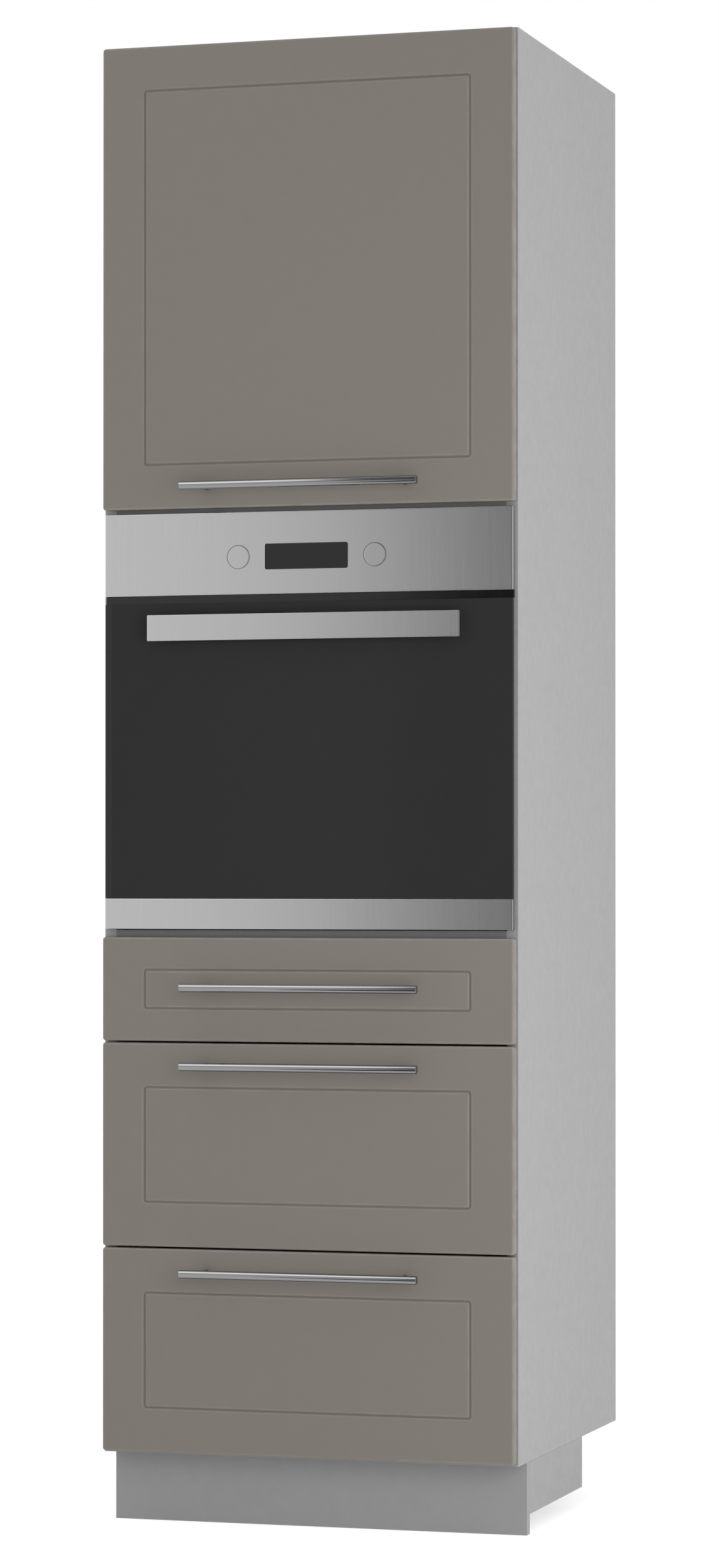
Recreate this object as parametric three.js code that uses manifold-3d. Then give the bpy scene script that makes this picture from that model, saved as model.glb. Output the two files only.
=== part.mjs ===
import * as THREE from "three";
import { mergeVertices } from "three/addons/utils/BufferGeometryUtils.js";
import Module from "manifold-3d";

// A tall kitchen unit: three drawers, a built-in oven, and a cupboard with a lift-up flap.
// Millimetres, +Z up, the front looks towards -Y. The origin is on the floor, under the middle
// of the whole depth, bar handles included.

// Carcass
const unitWidth = 600;
const unitHeight = 2070;
const carcassDepth = 560;
const boardThickness = 16;
const backThickness = 3;
const backRebate = 8;
const plinthHeight = 100;
const shelfDepth = 500;
const shelfSideGap = 1;
const ventReveal = 10; // how much of the oven's floor shelf shows above the drawers
const upperShelfOverlap = 8; // how far the flap laps over the shelf behind its lower edge

// Plinth and legs
const plinthSetback = 45;
const plinthThickness = 16;
const returnHeight = 72.5;
const returnLength = 295;
const legInset = 72; // from a side panel's inner face to a leg's axis
const legFrontOffset = 44; // from the plinth's back to a front leg's axis
const legRearOffset = 90; // from the carcass's back to a rear leg's axis
const legFlangeRadius = 30;
const legCollarRadius = 22.5;
const legStemRadius = 15;
const legThreadRadius = 9;
const legFootRadius = 24;

// Fronts
const frontThickness = 16;
const frontBuffer = 1; // the bumpers keep a front this far off the carcass
const frontSideReveal = 2;
const frontTopReveal = 2;
const frontBottomReveal = 3;
const frontGap = 2.5;
const largeFrontHeight = 284.5;
const smallFrontHeight = 145;
const frontEdgeRadius = 3;
const frontCornerRadius = 4;
const stileWidth = 60;
const smallRailWidth = 43.5;
const grooveWidth = 4;
const grooveDepth = 2;

// Bar handles
const barLength = 342;
const barDiameter = 10;
const barStandOff = 38; // from a front's face to the bar's axis
const postSpacing = 288;
const postDiameter = 9;
const flapHandleRise = 29;
const smallHandleDrop = 69.5;
const largeHandleDrop = 31.3;

// Flap, its cup hinges and its lift
const hingeInset = 88; // from a front's side edge to a cup's centre
const cupRadius = 17.5;
const cupDepth = 12;
const cupDrop = 22.5; // from the flap's top edge to a cup's centre
const cupFit = 0.3;
const cupWall = 1.6;
const hingePinDepth = 5; // from the flap's back to the link's pin, inside the cup
const hingePinRise = 0.5; // from the cup's centre up to the pin
const hingeLinkDrop = 10;
const hingeLinkReach = 55;
const hingeLinkHeight = 5;
const hingeLinkWidth = 6;
const hingeLinkPlay = 1.2; // on each side of the link, in its cup and in its arm
const hingeEyeWall = 0.8;
const hingePinRadius = 1.5;
const armLength = 62;
const armSetback = 8;
const armSheet = 1.5;
const armDrop = 3.2; // from the link's lower side to the arm's web
const armPlateThickness = 2;
const armPlateWidth = 48;
const armPlateLength = 22;
const liftDrop = 120; // from the flap's axis to the lift's stud
const liftStudOffset = 10; // from the flap's back to the stud's axis
const liftAxisBack = 120; // from the flap's axis to the lever's axis
const liftAxisDrop = 60;
const liftBoxThickness = 20;
const liftBoxLength = 150;
const liftBoxHeight = 84;
const liftBoxLead = 30; // from the box's front end to the lever's axis
const liftScaleStart = 40; // from the lever's axis to the window over the spring's setting
const liftScaleLength = 56;
const liftScaleHeight = 18;
const liftBoxCorner = 14;
const liftBarThickness = 4;
const liftLinkWidth = 12;
const liftLeverWidth = 16;
const liftPinRadius = 3;
const leverPinRadius = 4.5;
const bracketSheet = 3;
const bracketWidth = 28;
const bracketHeight = 44;
const bracketLead = 6; // from the ear towards the side panel

// Oven
const ovenGapBelow = 11.4;
const ovenGapAbove = 6.4;
const ovenSideReveal = 4.5; // from the carcass's side to the oven front's side
const ovenFrontHeight = 580.2;
const ovenFrontReach = 13; // from the carcass's front edge to the oven's face
const ovenPlateThickness = 4;
const ovenSideGap = 4;
const ovenBodyDrop = 16.6; // from the front's upper edge to the body's top
const ovenBodyDepth = 514;
const ovenSheet = 2;
const rearVentWidth = 260;
const rearVentHeight = 34;
const rearVentDrop = 60; // from the body's top to the vent
const controlHeight = 114.8;
const controlGap = 1; // from the control panel's back to the carcass's front edge
const flangeInset = 3; // from the oven front's side to its casing's flange
const flangeRise = 30; // from the door's lower edge to the flange
const ventHeight = 11;
const ventSetback = 6;
const trimHeight = 42.5;
const trimGap = 0.3;
const doorFit = 0.4;
const doorBackGap = 2; // from the carcass's front edge to the wide part of the door's frame
const doorInnerReach = 24; // how far the door's inner frame reaches into the carcass
const doorInnerRise = 12.6; // from the door's lower edge to its inner frame
const doorInnerDrop = 4; // from the door's upper edge to its inner frame
const doorFrameGap = 11; // between the recess's side wall and the door's inner frame
const doorFrameSheet = 3;
const windowLap = 12; // how far the door's frame stands into the cavity's opening, seen from the front
const innerGlassThickness = 4;
const gasketDepth = 2.7;
const gasketClearance = 0.3;
const gasketInset = 6; // from the cavity's edge to the gasket
const gasketWidth = 7;
const cavityWidth = 450;
const cavityHeight = 350;
const cavityDepth = 409;
const cavityRise = 48;
const cavityCorner = 22;
const ledgeDepth = 10;
const ledgeHeight = 7;
const ledgePitch = 62;
const ledgeCount = 4;
const shelfLevel = 2;
const fanCoverRadius = 88;
const fanCoverDepth = 6;
const grillWire = 3.2;
const grillDrop = 22; // from the cavity's roof to the element
const grillInnerLane = 50; // from the middle plane to the first run
const grillLanePitch = 60;
const grillFrontGap = 60;
const grillBackGap = 90;
const doorAxisRise = 4; // from the door's lower edge to its axis
const doorAxisBack = 6.5; // from the carcass's front edge forward to the door's axis
const doorPinRadius = 1.8;
const doorPinWall = 0.5;
const doorHingeSpacing = 504;
const doorArmThickness = 4;
const doorPinLength = 8;
const runningFit = 0.3;

// Oven controls and handle
const knobSpacing = 198;
const knobRise = 52.2; // from the control panel's lower edge to the knobs' axes
const knobRadius = 16;
const knobGap = 0.8;
const knobTravel = 18;
const knobLength = 29;
const spindleRadius = 3;
const spindleTail = 8; // from a pushed-in knob's back to the spindle's end
const spindleHold = 8; // how much of the spindle a popped-out knob still holds
const spindleRailHeight = 52;
const displayWidth = 119.6;
const displayHeight = 35.5;
const displayThickness = 3;
const ovenHandleLength = 452;
const ovenHandleHeight = 36;
const ovenHandleDrop = 17; // from the door's upper edge to the handle
const ovenHandleThickness = 4;
const ovenHandleGap = 18;
const ovenPostSpacing = 400;
const ovenPostWidth = 14;
const ovenPostInset = 8;

// Drawers and their runners
const runnerWidth = 12.5; // between a drawer and a side panel
const drawerLength = 500;
const smallBoxHeight = 86;
const largeBoxHeight = 150;
const boxRise = 22; // from a front's lower edge to its drawer's lower edge
const drawerSheet = 1.5;
const drawerRim = 11;
const drawerRimDrop = 7;
const drawerFoot = 14; // how far the bottom board rests on each side's foot
const drawerBackDrop = 4; // from a drawer side's rim to its back's
const drawerBackRim = 9;
const drawerBottomThickness = 16;
const bottomFit = 0.3;
const railHeight = 24;
const railRise = 4;
const railSheet = 1.2;
const railLip = 9;
const runnerPlay = 0.8; // between a drawer's runner flange and its rail's upper lip
const flangeWidth = 9.5;
const railSetback = 2; // from a front's back to its rails

// What follows from the sizes above
const halfWidth = unitWidth / 2;
const innerHalf = halfWidth - boardThickness;
const backPlane = carcassDepth - backThickness;
const frontFace = -frontBuffer - frontThickness;
const frontHalf = halfWidth - frontSideReveal;
const frontReach = barStandOff + barDiameter / 2 - frontFace;
const drawerFrontBottoms = [
  plinthHeight + frontBottomReveal + 2 * (largeFrontHeight + frontGap),
  plinthHeight + frontBottomReveal + largeFrontHeight + frontGap,
  plinthHeight + frontBottomReveal,
];
const drawersTop = drawerFrontBottoms[0] + smallFrontHeight;
const ovenFloor = drawersTop + ventReveal;
const ovenBottom = drawersTop + ovenGapBelow;
const ovenTop = ovenBottom + ovenFrontHeight;
const flapBottom = ovenTop + ovenGapAbove;
const flapTop = unitHeight - frontTopReveal;
const upperShelfBottom = flapBottom - upperShelfOverlap;
const cupboardFloor = upperShelfBottom + boardThickness;
const cupboardCeiling = unitHeight - boardThickness;
const shelfBottom = (cupboardFloor + cupboardCeiling - boardThickness) / 2;

// Finishes
const finish = (color, roughness, metalness = 0) =>
  new THREE.MeshStandardMaterial({ color, roughness, metalness });
const carcassBoard = finish(0xb4b4b3, 0.55);
const backBoard = finish(0xcfcfcc, 0.7);
const frontPaint = finish(0x827d77, 0.5);
const plinthBoard = finish(0x8e8e8e, 0.6);
const legPlastic = finish(0x232323, 0.6);
const polishedSteel = finish(0xc9c9c9, 0.18, 1);
const brushedSteel = finish(0xb4b4b4, 0.32, 1);
const zincSteel = finish(0xbfc1c2, 0.35, 1);
const darkGlass = finish(0x2e2e2f, 0.12);
const ovenEnamel = finish(0x1c1c1d, 0.4, 0.3);
const drawerSteel = finish(0xd4d5d6, 0.45, 0.4);
const drawerBoard = finish(0xdcdcda, 0.6);

// Geometry tools

const wasm = await Module();
wasm.setup();

function solidOf(geometry) {
  const bare = geometry.index ? geometry.toNonIndexed() : geometry.clone();
  bare.deleteAttribute("normal");
  bare.deleteAttribute("uv");
  const merged = mergeVertices(bare, 1e-4);
  return new wasm.Manifold(
    new wasm.Mesh({
      numProp: 3,
      vertProperties: merged.attributes.position.array,
      triVerts: new Uint32Array(merged.index.array),
    }),
  );
}

function geometryOf(solid) {
  const mesh = solid.getMesh();
  const geometry = new THREE.BufferGeometry();
  geometry.setAttribute("position", new THREE.BufferAttribute(mesh.vertProperties, 3));
  geometry.setIndex(new THREE.BufferAttribute(mesh.triVerts, 1));
  geometry.computeVertexNormals();
  return geometry;
}

const join = (...geometries) =>
  geometryOf(geometries.map(solidOf).reduce((whole, piece) => whole.add(piece)));

const cut = (geometry, ...cutters) =>
  geometryOf(cutters.map(solidOf).reduce((rest, cutter) => rest.subtract(cutter), solidOf(geometry)));

const box = (x0, x1, y0, y1, z0, z1) =>
  new THREE.BoxGeometry(x1 - x0, y1 - y0, z1 - z0).translate(
    (x0 + x1) / 2,
    (y0 + y1) / 2,
    (z0 + z1) / 2,
  );

// From a to b on the +X side, or the same stretch on the other side, lowest first.
const onSide = (side, a, b) => (side > 0 ? [a, b] : [-b, -a]);

// A box as wide on one side of the middle plane as on the other.
const wideBox = (half, y0, y1, z0, z1) => box(-half, half, y0, y1, z0, z1);

const outline = (points) => new THREE.Shape(points.map(([a, b]) => new THREE.Vector2(a, b)));

function roundedRectangle(a0, b0, a1, b1, radius) {
  const shape = new THREE.Shape();
  const turn = Math.PI / 2;
  shape.moveTo(a0 + radius, b0);
  shape.lineTo(a1 - radius, b0);
  shape.absarc(a1 - radius, b0 + radius, radius, -turn, 0);
  shape.lineTo(a1, b1 - radius);
  shape.absarc(a1 - radius, b1 - radius, radius, 0, turn);
  shape.lineTo(a0 + radius, b1);
  shape.absarc(a0 + radius, b1 - radius, radius, turn, 2 * turn);
  shape.lineTo(a0, b0 + radius);
  shape.absarc(a0 + radius, b0 + radius, radius, 2 * turn, 3 * turn);
  return shape;
}

// A bar with round ends between two points of its plane, as a closed outline.
function barOutline([a0, b0], [a1, b1], width) {
  const shape = new THREE.Shape();
  const heading = Math.atan2(b1 - b0, a1 - a0);
  const turn = Math.PI / 2;
  shape.absarc(a0, b0, width / 2, heading + turn, heading + 3 * turn);
  shape.absarc(a1, b1, width / 2, heading - turn, heading + turn);
  return shape;
}

const extrude = (shape, depth, curveSegments = 4) =>
  new THREE.ExtrudeGeometry(shape, { depth, bevelEnabled: false, curveSegments });

// Outlines in X and Z, pushed along Y; in Y and Z, pushed along X; in X and Y, pushed along Z.
const alongY = (shape, y0, y1, curveSegments) =>
  extrude(shape, y1 - y0, curveSegments).rotateX(Math.PI / 2).translate(0, y1, 0);

const yzToWorld = new THREE.Matrix4().makeBasis(
  new THREE.Vector3(0, 1, 0),
  new THREE.Vector3(0, 0, 1),
  new THREE.Vector3(1, 0, 0),
);
const alongX = (shape, x0, x1, curveSegments) =>
  extrude(shape, x1 - x0, curveSegments).applyMatrix4(yzToWorld).translate(x0, 0, 0);

const alongZ = (shape, z0, z1, curveSegments) =>
  extrude(shape, z1 - z0, curveSegments).translate(0, 0, z0);

// An outline in X and Z with rounded edges, from its face at Y = 0 back to Y = depth.
const edgedPlate = (shape, depth, edge, bevelSegments) =>
  new THREE.ExtrudeGeometry(shape, {
    depth: depth - 2 * edge,
    bevelThickness: edge,
    bevelSize: edge,
    bevelOffset: -edge,
    bevelSegments,
    curveSegments: 2,
  })
    .rotateX(Math.PI / 2)
    .translate(0, depth - edge, 0);

const rodX = (radius, x0, x1, y, z, sides = 16) =>
  new THREE.CylinderGeometry(radius, radius, x1 - x0, sides)
    .rotateZ(Math.PI / 2)
    .translate((x0 + x1) / 2, y, z);

const rodY = (radius, y0, y1, x, z, sides = 16) =>
  new THREE.CylinderGeometry(radius, radius, y1 - y0, sides).translate(x, (y0 + y1) / 2, z);

// A round profile of [radius, height] points, turned about a line along Y or Z.
const turned = (profile, sides) =>
  new THREE.LatheGeometry(profile.map(([r, h]) => new THREE.Vector2(r, h)), sides);

// The same piece on the other side, its triangles turned round so that they still face out.
function mirrored(geometry) {
  const flipped = geometry.clone().scale(-1, 1, 1);
  flipped.setIndex(new THREE.BufferAttribute(flipped.index.array.slice().reverse(), 1));
  flipped.computeVertexNormals();
  return flipped;
}

function mesh(name, geometry, material, position = [0, 0, 0]) {
  const made = new THREE.Mesh(geometry, material);
  made.name = name;
  made.position.set(...position);
  return made;
}

function board(name, half, [y0, y1], [z0, z1], material = carcassBoard) {
  const size = [2 * half, y1 - y0, z1 - z0];
  return mesh(name, new THREE.BoxGeometry(...size), material, [0, (y0 + y1) / 2, (z0 + z1) / 2]);
}

function groupOf(...members) {
  const made = new THREE.Group();
  made.add(...members.flat());
  return made;
}

// Carcass

const pinRadius = 2.2;
const pinFit = 0.3;
const pinDepth = 9;
const pinRows = [37, shelfDepth - 37]; // from the shelf's front edge
const pinPitch = 32;
const pinSteps = [-2, -1, 0, 1, 2];
const shelfFront = 20;
const pinHeight = shelfBottom - pinRadius + 0.5;

// The right-hand panel, with a rebate for the back and two rows of shelf holes.
function sidePanelGeometry() {
  const rebateEdge = innerHalf + backRebate;
  const plan = outline([
    [innerHalf, 0],
    [halfWidth, 0],
    [halfWidth, carcassDepth],
    [rebateEdge, carcassDepth],
    [rebateEdge, backPlane],
    [innerHalf, backPlane],
  ]);
  const holes = pinRows.flatMap((row) =>
    pinSteps.map((step) =>
      rodX(
        pinRadius + pinFit,
        innerHalf - 1,
        innerHalf + pinDepth + pinFit,
        shelfFront + row,
        pinHeight + step * pinPitch,
        8,
      ),
    ),
  );
  return cut(alongZ(plan, plinthHeight, unitHeight), ...holes);
}

function cupboardShelf() {
  const half = innerHalf - shelfSideGap;
  const shelfTop = shelfBottom + boardThickness;
  const slab = wideBox(half, shelfFront, shelfFront + shelfDepth, shelfBottom, shelfTop);
  const pins = pinRows.flatMap((row) =>
    [-1, 1].map((side) => {
      const span = onSide(side, half - pinDepth, innerHalf + pinDepth);
      return rodX(pinRadius, ...span, shelfFront + row, pinHeight, 8);
    }),
  );
  return mesh("cupboard_shelf", join(slab, ...pins), carcassBoard);
}

function carcass() {
  const side = sidePanelGeometry();
  const backHalf = innerHalf + backRebate - pinFit;
  const backSpan = [backPlane, carcassDepth];
  const depthSpan = [0, backPlane];
  return groupOf(
    mesh("side_panel_right", side, carcassBoard),
    mesh("side_panel_left", mirrored(side), carcassBoard),
    board("top_panel", innerHalf, depthSpan, [cupboardCeiling, unitHeight]),
    board("bottom_panel", innerHalf, depthSpan, [plinthHeight, plinthHeight + boardThickness]),
    board("oven_shelf_lower", innerHalf, depthSpan, [ovenFloor - boardThickness, ovenFloor]),
    board("oven_shelf_upper", innerHalf, depthSpan, [upperShelfBottom, cupboardFloor]),
    cupboardShelf(),
    board("back_panel_upper", backHalf, backSpan, [upperShelfBottom, unitHeight], backBoard),
    board("back_panel_lower", backHalf, backSpan, [plinthHeight, ovenFloor], backBoard),
  );
}

// Plinth and legs

// One adjustable leg: a flange under the bottom panel, a ribbed stem, and a foot on a thread.
function legGeometry() {
  const flange = 5;
  const collar = 22;
  const foot = 9;
  const footNeck = 16;
  const stemBase = 30;
  return turned(
    [
      [0, 0],
      [legFootRadius, 0],
      [legFootRadius, foot],
      [legThreadRadius, footNeck],
      [legThreadRadius, stemBase],
      [legStemRadius, stemBase],
      [legStemRadius, plinthHeight - collar],
      [legCollarRadius, plinthHeight - flange],
      [legFlangeRadius, plinthHeight - flange],
      [legFlangeRadius, plinthHeight],
      [0, plinthHeight],
    ],
    16,
  ).rotateX(Math.PI / 2);
}

function plinth() {
  const returnStart = plinthSetback + plinthThickness;
  const returnSize = [plinthThickness, returnLength, returnHeight];
  const returnPlace = [
    halfWidth - plinthThickness / 2,
    returnStart + returnLength / 2,
    plinthHeight - returnHeight / 2,
  ];
  const legX = innerHalf - legInset;
  const legRows = { front: returnStart + legFrontOffset, rear: carcassDepth - legRearOffset };
  const pieces = [
    board("plinth_front", halfWidth, [plinthSetback, returnStart], [0, plinthHeight], plinthBoard),
  ];
  for (const [sideName, side] of Object.entries({ left: -1, right: 1 })) {
    const geometry = new THREE.BoxGeometry(...returnSize);
    const place = [side * returnPlace[0], returnPlace[1], returnPlace[2]];
    pieces.push(mesh(`plinth_return_${sideName}`, geometry, plinthBoard, place));
    for (const [rowName, row] of Object.entries(legRows))
      pieces.push(mesh(`leg_${rowName}_${sideName}`, legGeometry(), legPlastic, [side * legX, row, 0]));
  }
  return groupOf(pieces);
}

// Fronts and bar handles, each in a frame whose origin is the middle of the front's lower back edge

// A milled front: rounded edges and corners round the face, and a groove that draws a frame on it.
function frontGeometry(height, railWidth) {
  const face = roundedRectangle(-frontHalf, 0, frontHalf, height, frontCornerRadius);
  const blank = edgedPlate(face, 2 * frontThickness, frontEdgeRadius, 3);
  blank.translate(0, -frontThickness, 0);
  const behind = wideBox(frontHalf + 1, 0, 2 * frontThickness, -1, height + 1);
  const ring = roundedRectangle(
    -frontHalf + stileWidth,
    railWidth,
    frontHalf - stileWidth,
    height - railWidth,
    1,
  );
  const inner = stileWidth + grooveWidth;
  const innerRail = railWidth + grooveWidth;
  ring.holes.push(
    roundedRectangle(-frontHalf + inner, innerRail, frontHalf - inner, height - innerRail, 0.5),
  );
  const groove = alongY(ring, -frontThickness - 1, -frontThickness + grooveDepth, 1);
  return cut(blank, behind, groove);
}

// A round bar on two posts, its axis barStandOff in front of the face that it stands on.
function barHandleGeometry() {
  const posts = [-1, 1].map((side) =>
    rodY(postDiameter / 2, -barStandOff, 0, (side * postSpacing) / 2, 0, 12),
  );
  const bar = rodX(barDiameter / 2, -barLength / 2, barLength / 2, -barStandOff, 0, 16);
  return join(bar, ...posts);
}

// Flap: front, handle, cup hinges and lift

const flapHeight = flapTop - flapBottom;
const hingeX = frontHalf - hingeInset;
const flapAxis = [frontFace, flapTop]; // Y and Z of the line that the flap turns about
const cupZ = flapTop - cupDrop;
const hingePin = [-frontBuffer - hingePinDepth, cupZ + hingePinRise];
const hingeSlot = hingeLinkWidth / 2 + hingeLinkPlay;

function flapFrontGeometry() {
  const bores = [-1, 1].map((side) =>
    rodY(
      cupRadius + cupFit,
      -cupDepth - cupFit,
      1,
      side * hingeX,
      flapHeight - cupDrop,
      24,
    ),
  );
  return cut(frontGeometry(flapHeight, stileWidth), ...bores);
}

// The cup in the flap's back, with the pocket that the link swings in and the pin it turns on.
function hingeCupGeometry() {
  const [pinY, pinZ] = hingePin;
  const shell = rodY(cupRadius, -frontBuffer - cupDepth, -frontBuffer, 0, cupZ, 24);
  const low = cupZ - cupRadius + cupWall;
  const high = cupZ + cupRadius - cupWall;
  const floor = -frontBuffer - cupDepth + cupWall;
  const pocket = box(-hingeSlot, hingeSlot, floor, 1, low + 1, high - 1);
  const pin = rodX(hingePinRadius, -hingeSlot - 1, hingeSlot + 1, pinY, pinZ, 10);
  return join(cut(shell, pocket), pin);
}

// A bent link: an eye on the cup's pin, a short leg down, and a long leg into the arm.
function hingeLinkGeometry() {
  const [pinY, pinZ] = hingePin;
  const eye = hingeLinkHeight / 2 + hingeEyeWall;
  const halfLeg = hingeLinkHeight / 2;
  const legZ = pinZ - hingeLinkDrop;
  const halfLink = hingeLinkWidth / 2;
  const down = barOutline([pinY, pinZ], [pinY, legZ], hingeLinkHeight);
  const out = outline([
    [pinY, legZ - halfLeg],
    [pinY + hingeLinkReach, legZ - halfLeg],
    [pinY + hingeLinkReach, legZ + halfLeg],
    [pinY, legZ + halfLeg],
  ]);
  const solid = join(
    rodX(eye, -halfLink, halfLink, pinY, pinZ, 12),
    alongX(down, -halfLink, halfLink, 4),
    alongX(out, -halfLink, halfLink),
  );
  const bore = rodX(hingePinRadius + runningFit, -halfLink - 1, halfLink + 1, pinY, pinZ, 12);
  return cut(solid, bore);
}

// The arm under the top panel: a channel that the link runs in, on a screwed plate.
function hingeArmGeometry() {
  const legZ = hingePin[1] - hingeLinkDrop;
  const outside = hingeSlot + armSheet;
  const webTop = legZ - hingeLinkHeight / 2 - armDrop;
  const webBottom = webTop - armSheet;
  const plateBottom = cupboardCeiling - armPlateThickness;
  const end = armSetback + armLength;
  const block = box(-outside, outside, armSetback, end, webBottom, plateBottom);
  const channel = box(-hingeSlot, hingeSlot, armSetback - 1, end + 1, webTop, plateBottom + 1);
  const middle = (armSetback + end) / 2;
  const halfWide = armPlateWidth / 2;
  const halfLong = armPlateLength / 2;
  const plate = roundedRectangle(-halfWide, middle - halfLong, halfWide, middle + halfLong, 5);
  return join(cut(block, channel), alongZ(plate, plateBottom, cupboardCeiling, 2));
}

const liftStud = [-frontBuffer + liftStudOffset, flapTop - liftDrop];
const leverAxis = [flapAxis[0] + liftAxisBack, flapAxis[1] - liftAxisDrop];
const leverEnd = [
  leverAxis[0] + liftStud[0] - flapAxis[0],
  leverAxis[1] + liftStud[1] - flapAxis[1],
];
const liftPlane = -innerHalf + liftBoxThickness; // X of the lift box's open face
const leverStart = liftPlane + runningFit;
const linkStart = leverStart + liftBarThickness + runningFit;
const linkEnd = linkStart + liftBarThickness;

// The spring box on the left panel, with the pin that the lever turns on.
function liftBoxGeometry() {
  const [axisY, axisZ] = leverAxis;
  const low = axisZ - liftBoxHeight / 2;
  const front = axisY - liftBoxLead;
  const shape = roundedRectangle(front, low, front + liftBoxLength, low + liftBoxHeight, liftBoxCorner);
  const shell = alongX(shape, -innerHalf, liftPlane, 3);
  const scaleStart = axisY + liftScaleStart;
  const scale = barOutline(
    [scaleStart + liftScaleHeight / 2, axisZ],
    [scaleStart + liftScaleLength - liftScaleHeight / 2, axisZ],
    liftScaleHeight,
  );
  const window = alongX(scale, liftPlane - 4, liftPlane + 1, 3);
  const pin = rodX(leverPinRadius, liftPlane - 2, linkStart - runningFit, axisY, axisZ, 16);
  return join(cut(shell, window), pin);
}

function liftLeverGeometry() {
  const bar = barOutline(leverAxis, leverEnd, liftLeverWidth);
  const solid = alongX(bar, leverStart, leverStart + liftBarThickness, 6);
  const bore = rodX(leverPinRadius + runningFit, leverStart - 1, linkStart, ...leverAxis, 16);
  const pin = rodX(liftPinRadius, leverStart + 1, linkEnd, ...leverEnd, 12);
  return join(cut(solid, bore), pin);
}

function liftLinkGeometry() {
  const bar = barOutline(leverEnd, liftStud, liftLinkWidth);
  const solid = alongX(bar, linkStart, linkEnd, 6);
  const bores = [leverEnd, liftStud].map((place) =>
    rodX(liftPinRadius + runningFit, linkStart - 1, linkEnd + 1, ...place, 12),
  );
  return cut(solid, ...bores);
}

// A plate screwed to the flap's back, with an ear that holds the link's stud.
function liftBracketGeometry() {
  const [studY, studZ] = liftStud;
  const earStart = linkEnd + runningFit;
  const earEnd = earStart + bracketSheet;
  const earHalf = liftLinkWidth / 2;
  const ear = barOutline([studY, studZ], [-frontBuffer + earHalf, studZ], liftLinkWidth);
  const foot = box(earStart, earEnd, -frontBuffer, studY, studZ - earHalf, studZ + earHalf);
  const plate = box(
    earStart - bracketLead,
    earStart - bracketLead + bracketWidth,
    -frontBuffer,
    -frontBuffer + bracketSheet,
    studZ - bracketHeight / 2,
    studZ + bracketHeight / 2,
  );
  const stud = rodX(liftPinRadius, linkStart, earStart + 1, studY, studZ, 12);
  return join(alongX(ear, earStart, earEnd, 5), foot, plate, stud);
}

function flap() {
  const place = [0, -frontBuffer, flapBottom];
  const handlePlace = [0, frontFace, flapBottom + flapHandleRise];
  const pieces = [
    mesh("flap_front", flapFrontGeometry(), frontPaint, place),
    mesh("flap_handle", barHandleGeometry(), polishedSteel, handlePlace),
    mesh("lift_box", liftBoxGeometry(), zincSteel),
    mesh("lift_lever", liftLeverGeometry(), zincSteel),
    mesh("lift_link", liftLinkGeometry(), zincSteel),
    mesh("lift_bracket", liftBracketGeometry(), zincSteel),
  ];
  for (const [sideName, side] of Object.entries({ left: -1, right: 1 })) {
    const at = [side * hingeX, 0, 0];
    pieces.push(mesh(`hinge_cup_${sideName}`, hingeCupGeometry(), zincSteel, at));
    pieces.push(mesh(`hinge_link_${sideName}`, hingeLinkGeometry(), zincSteel, at));
    pieces.push(mesh(`hinge_arm_${sideName}`, hingeArmGeometry(), zincSteel, at));
  }
  return groupOf(pieces);
}

// Oven

const ovenFace = -ovenFrontReach;
const ovenHalf = halfWidth - ovenSideReveal;
const plateBack = ovenFace + ovenPlateThickness;
const bodyHalf = innerHalf - ovenSideGap;
const controlBottom = ovenTop - controlHeight;
const doorTop = controlBottom - ventHeight;
const innerGlassBack = doorInnerReach + innerGlassThickness;
const bodyFront = innerGlassBack + gasketClearance + gasketDepth;
const doorAxis = [-doorAxisBack, ovenBottom + doorAxisRise];
const doorBack = -doorBackGap;
const knobZ = controlBottom + knobRise;
const cavityFloor = ovenFloor + cavityRise;
const cavityTop = cavityFloor + cavityHeight;
const cavityBack = bodyFront + cavityDepth;
const ledgeTop = (level) => cavityFloor + level * ledgePitch;
const innerFrameHalf = bodyHalf - doorFrameGap;
const innerFrameBottom = ovenBottom + doorInnerRise;
const innerFrameTop = doorTop - doorInnerDrop;
const windowHalf = cavityWidth / 2 - windowLap;
const knobBack = ovenFace + knobLength;
const spindleBack = knobBack + spindleTail;

// The cavity's section, whose sides step in at each ledge that carries a shelf. With a sheet's
// thickness it is the outer face of the liner.
function cavityOutline(sheet = 0) {
  const half = cavityWidth / 2 + sheet;
  const low = cavityFloor - sheet;
  const high = cavityTop + sheet;
  const corner = cavityCorner + sheet;
  const right = [];
  for (let level = 1; level <= ledgeCount; level++) {
    const top = ledgeTop(level) - sheet;
    const bottom = ledgeTop(level) - ledgeHeight + sheet;
    right.push([half, bottom], [half - ledgeDepth, bottom + 1.5]);
    right.push([half - ledgeDepth, top], [half, top]);
  }
  const shape = new THREE.Shape();
  const turn = Math.PI / 2;
  shape.absarc(half - corner, low + corner, corner, -turn, 0);
  right.forEach(([x, z]) => shape.lineTo(x, z));
  shape.absarc(half - corner, high - corner, corner, 0, turn);
  shape.absarc(-half + corner, high - corner, corner, turn, 2 * turn);
  right.reverse().forEach(([x, z]) => shape.lineTo(-x, z));
  shape.absarc(-half + corner, low + corner, corner, 2 * turn, 3 * turn);
  return shape;
}

function gasketGeometry() {
  const loop = (offset) =>
    roundedRectangle(
      -cavityWidth / 2 - offset,
      cavityFloor - offset,
      cavityWidth / 2 + offset,
      cavityTop + offset,
      cavityCorner + offset,
    );
  const ring = loop(gasketInset + gasketWidth);
  ring.holes.push(loop(gasketInset));
  return alongY(ring, bodyFront - gasketDepth, bodyFront + 1, 3);
}

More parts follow.
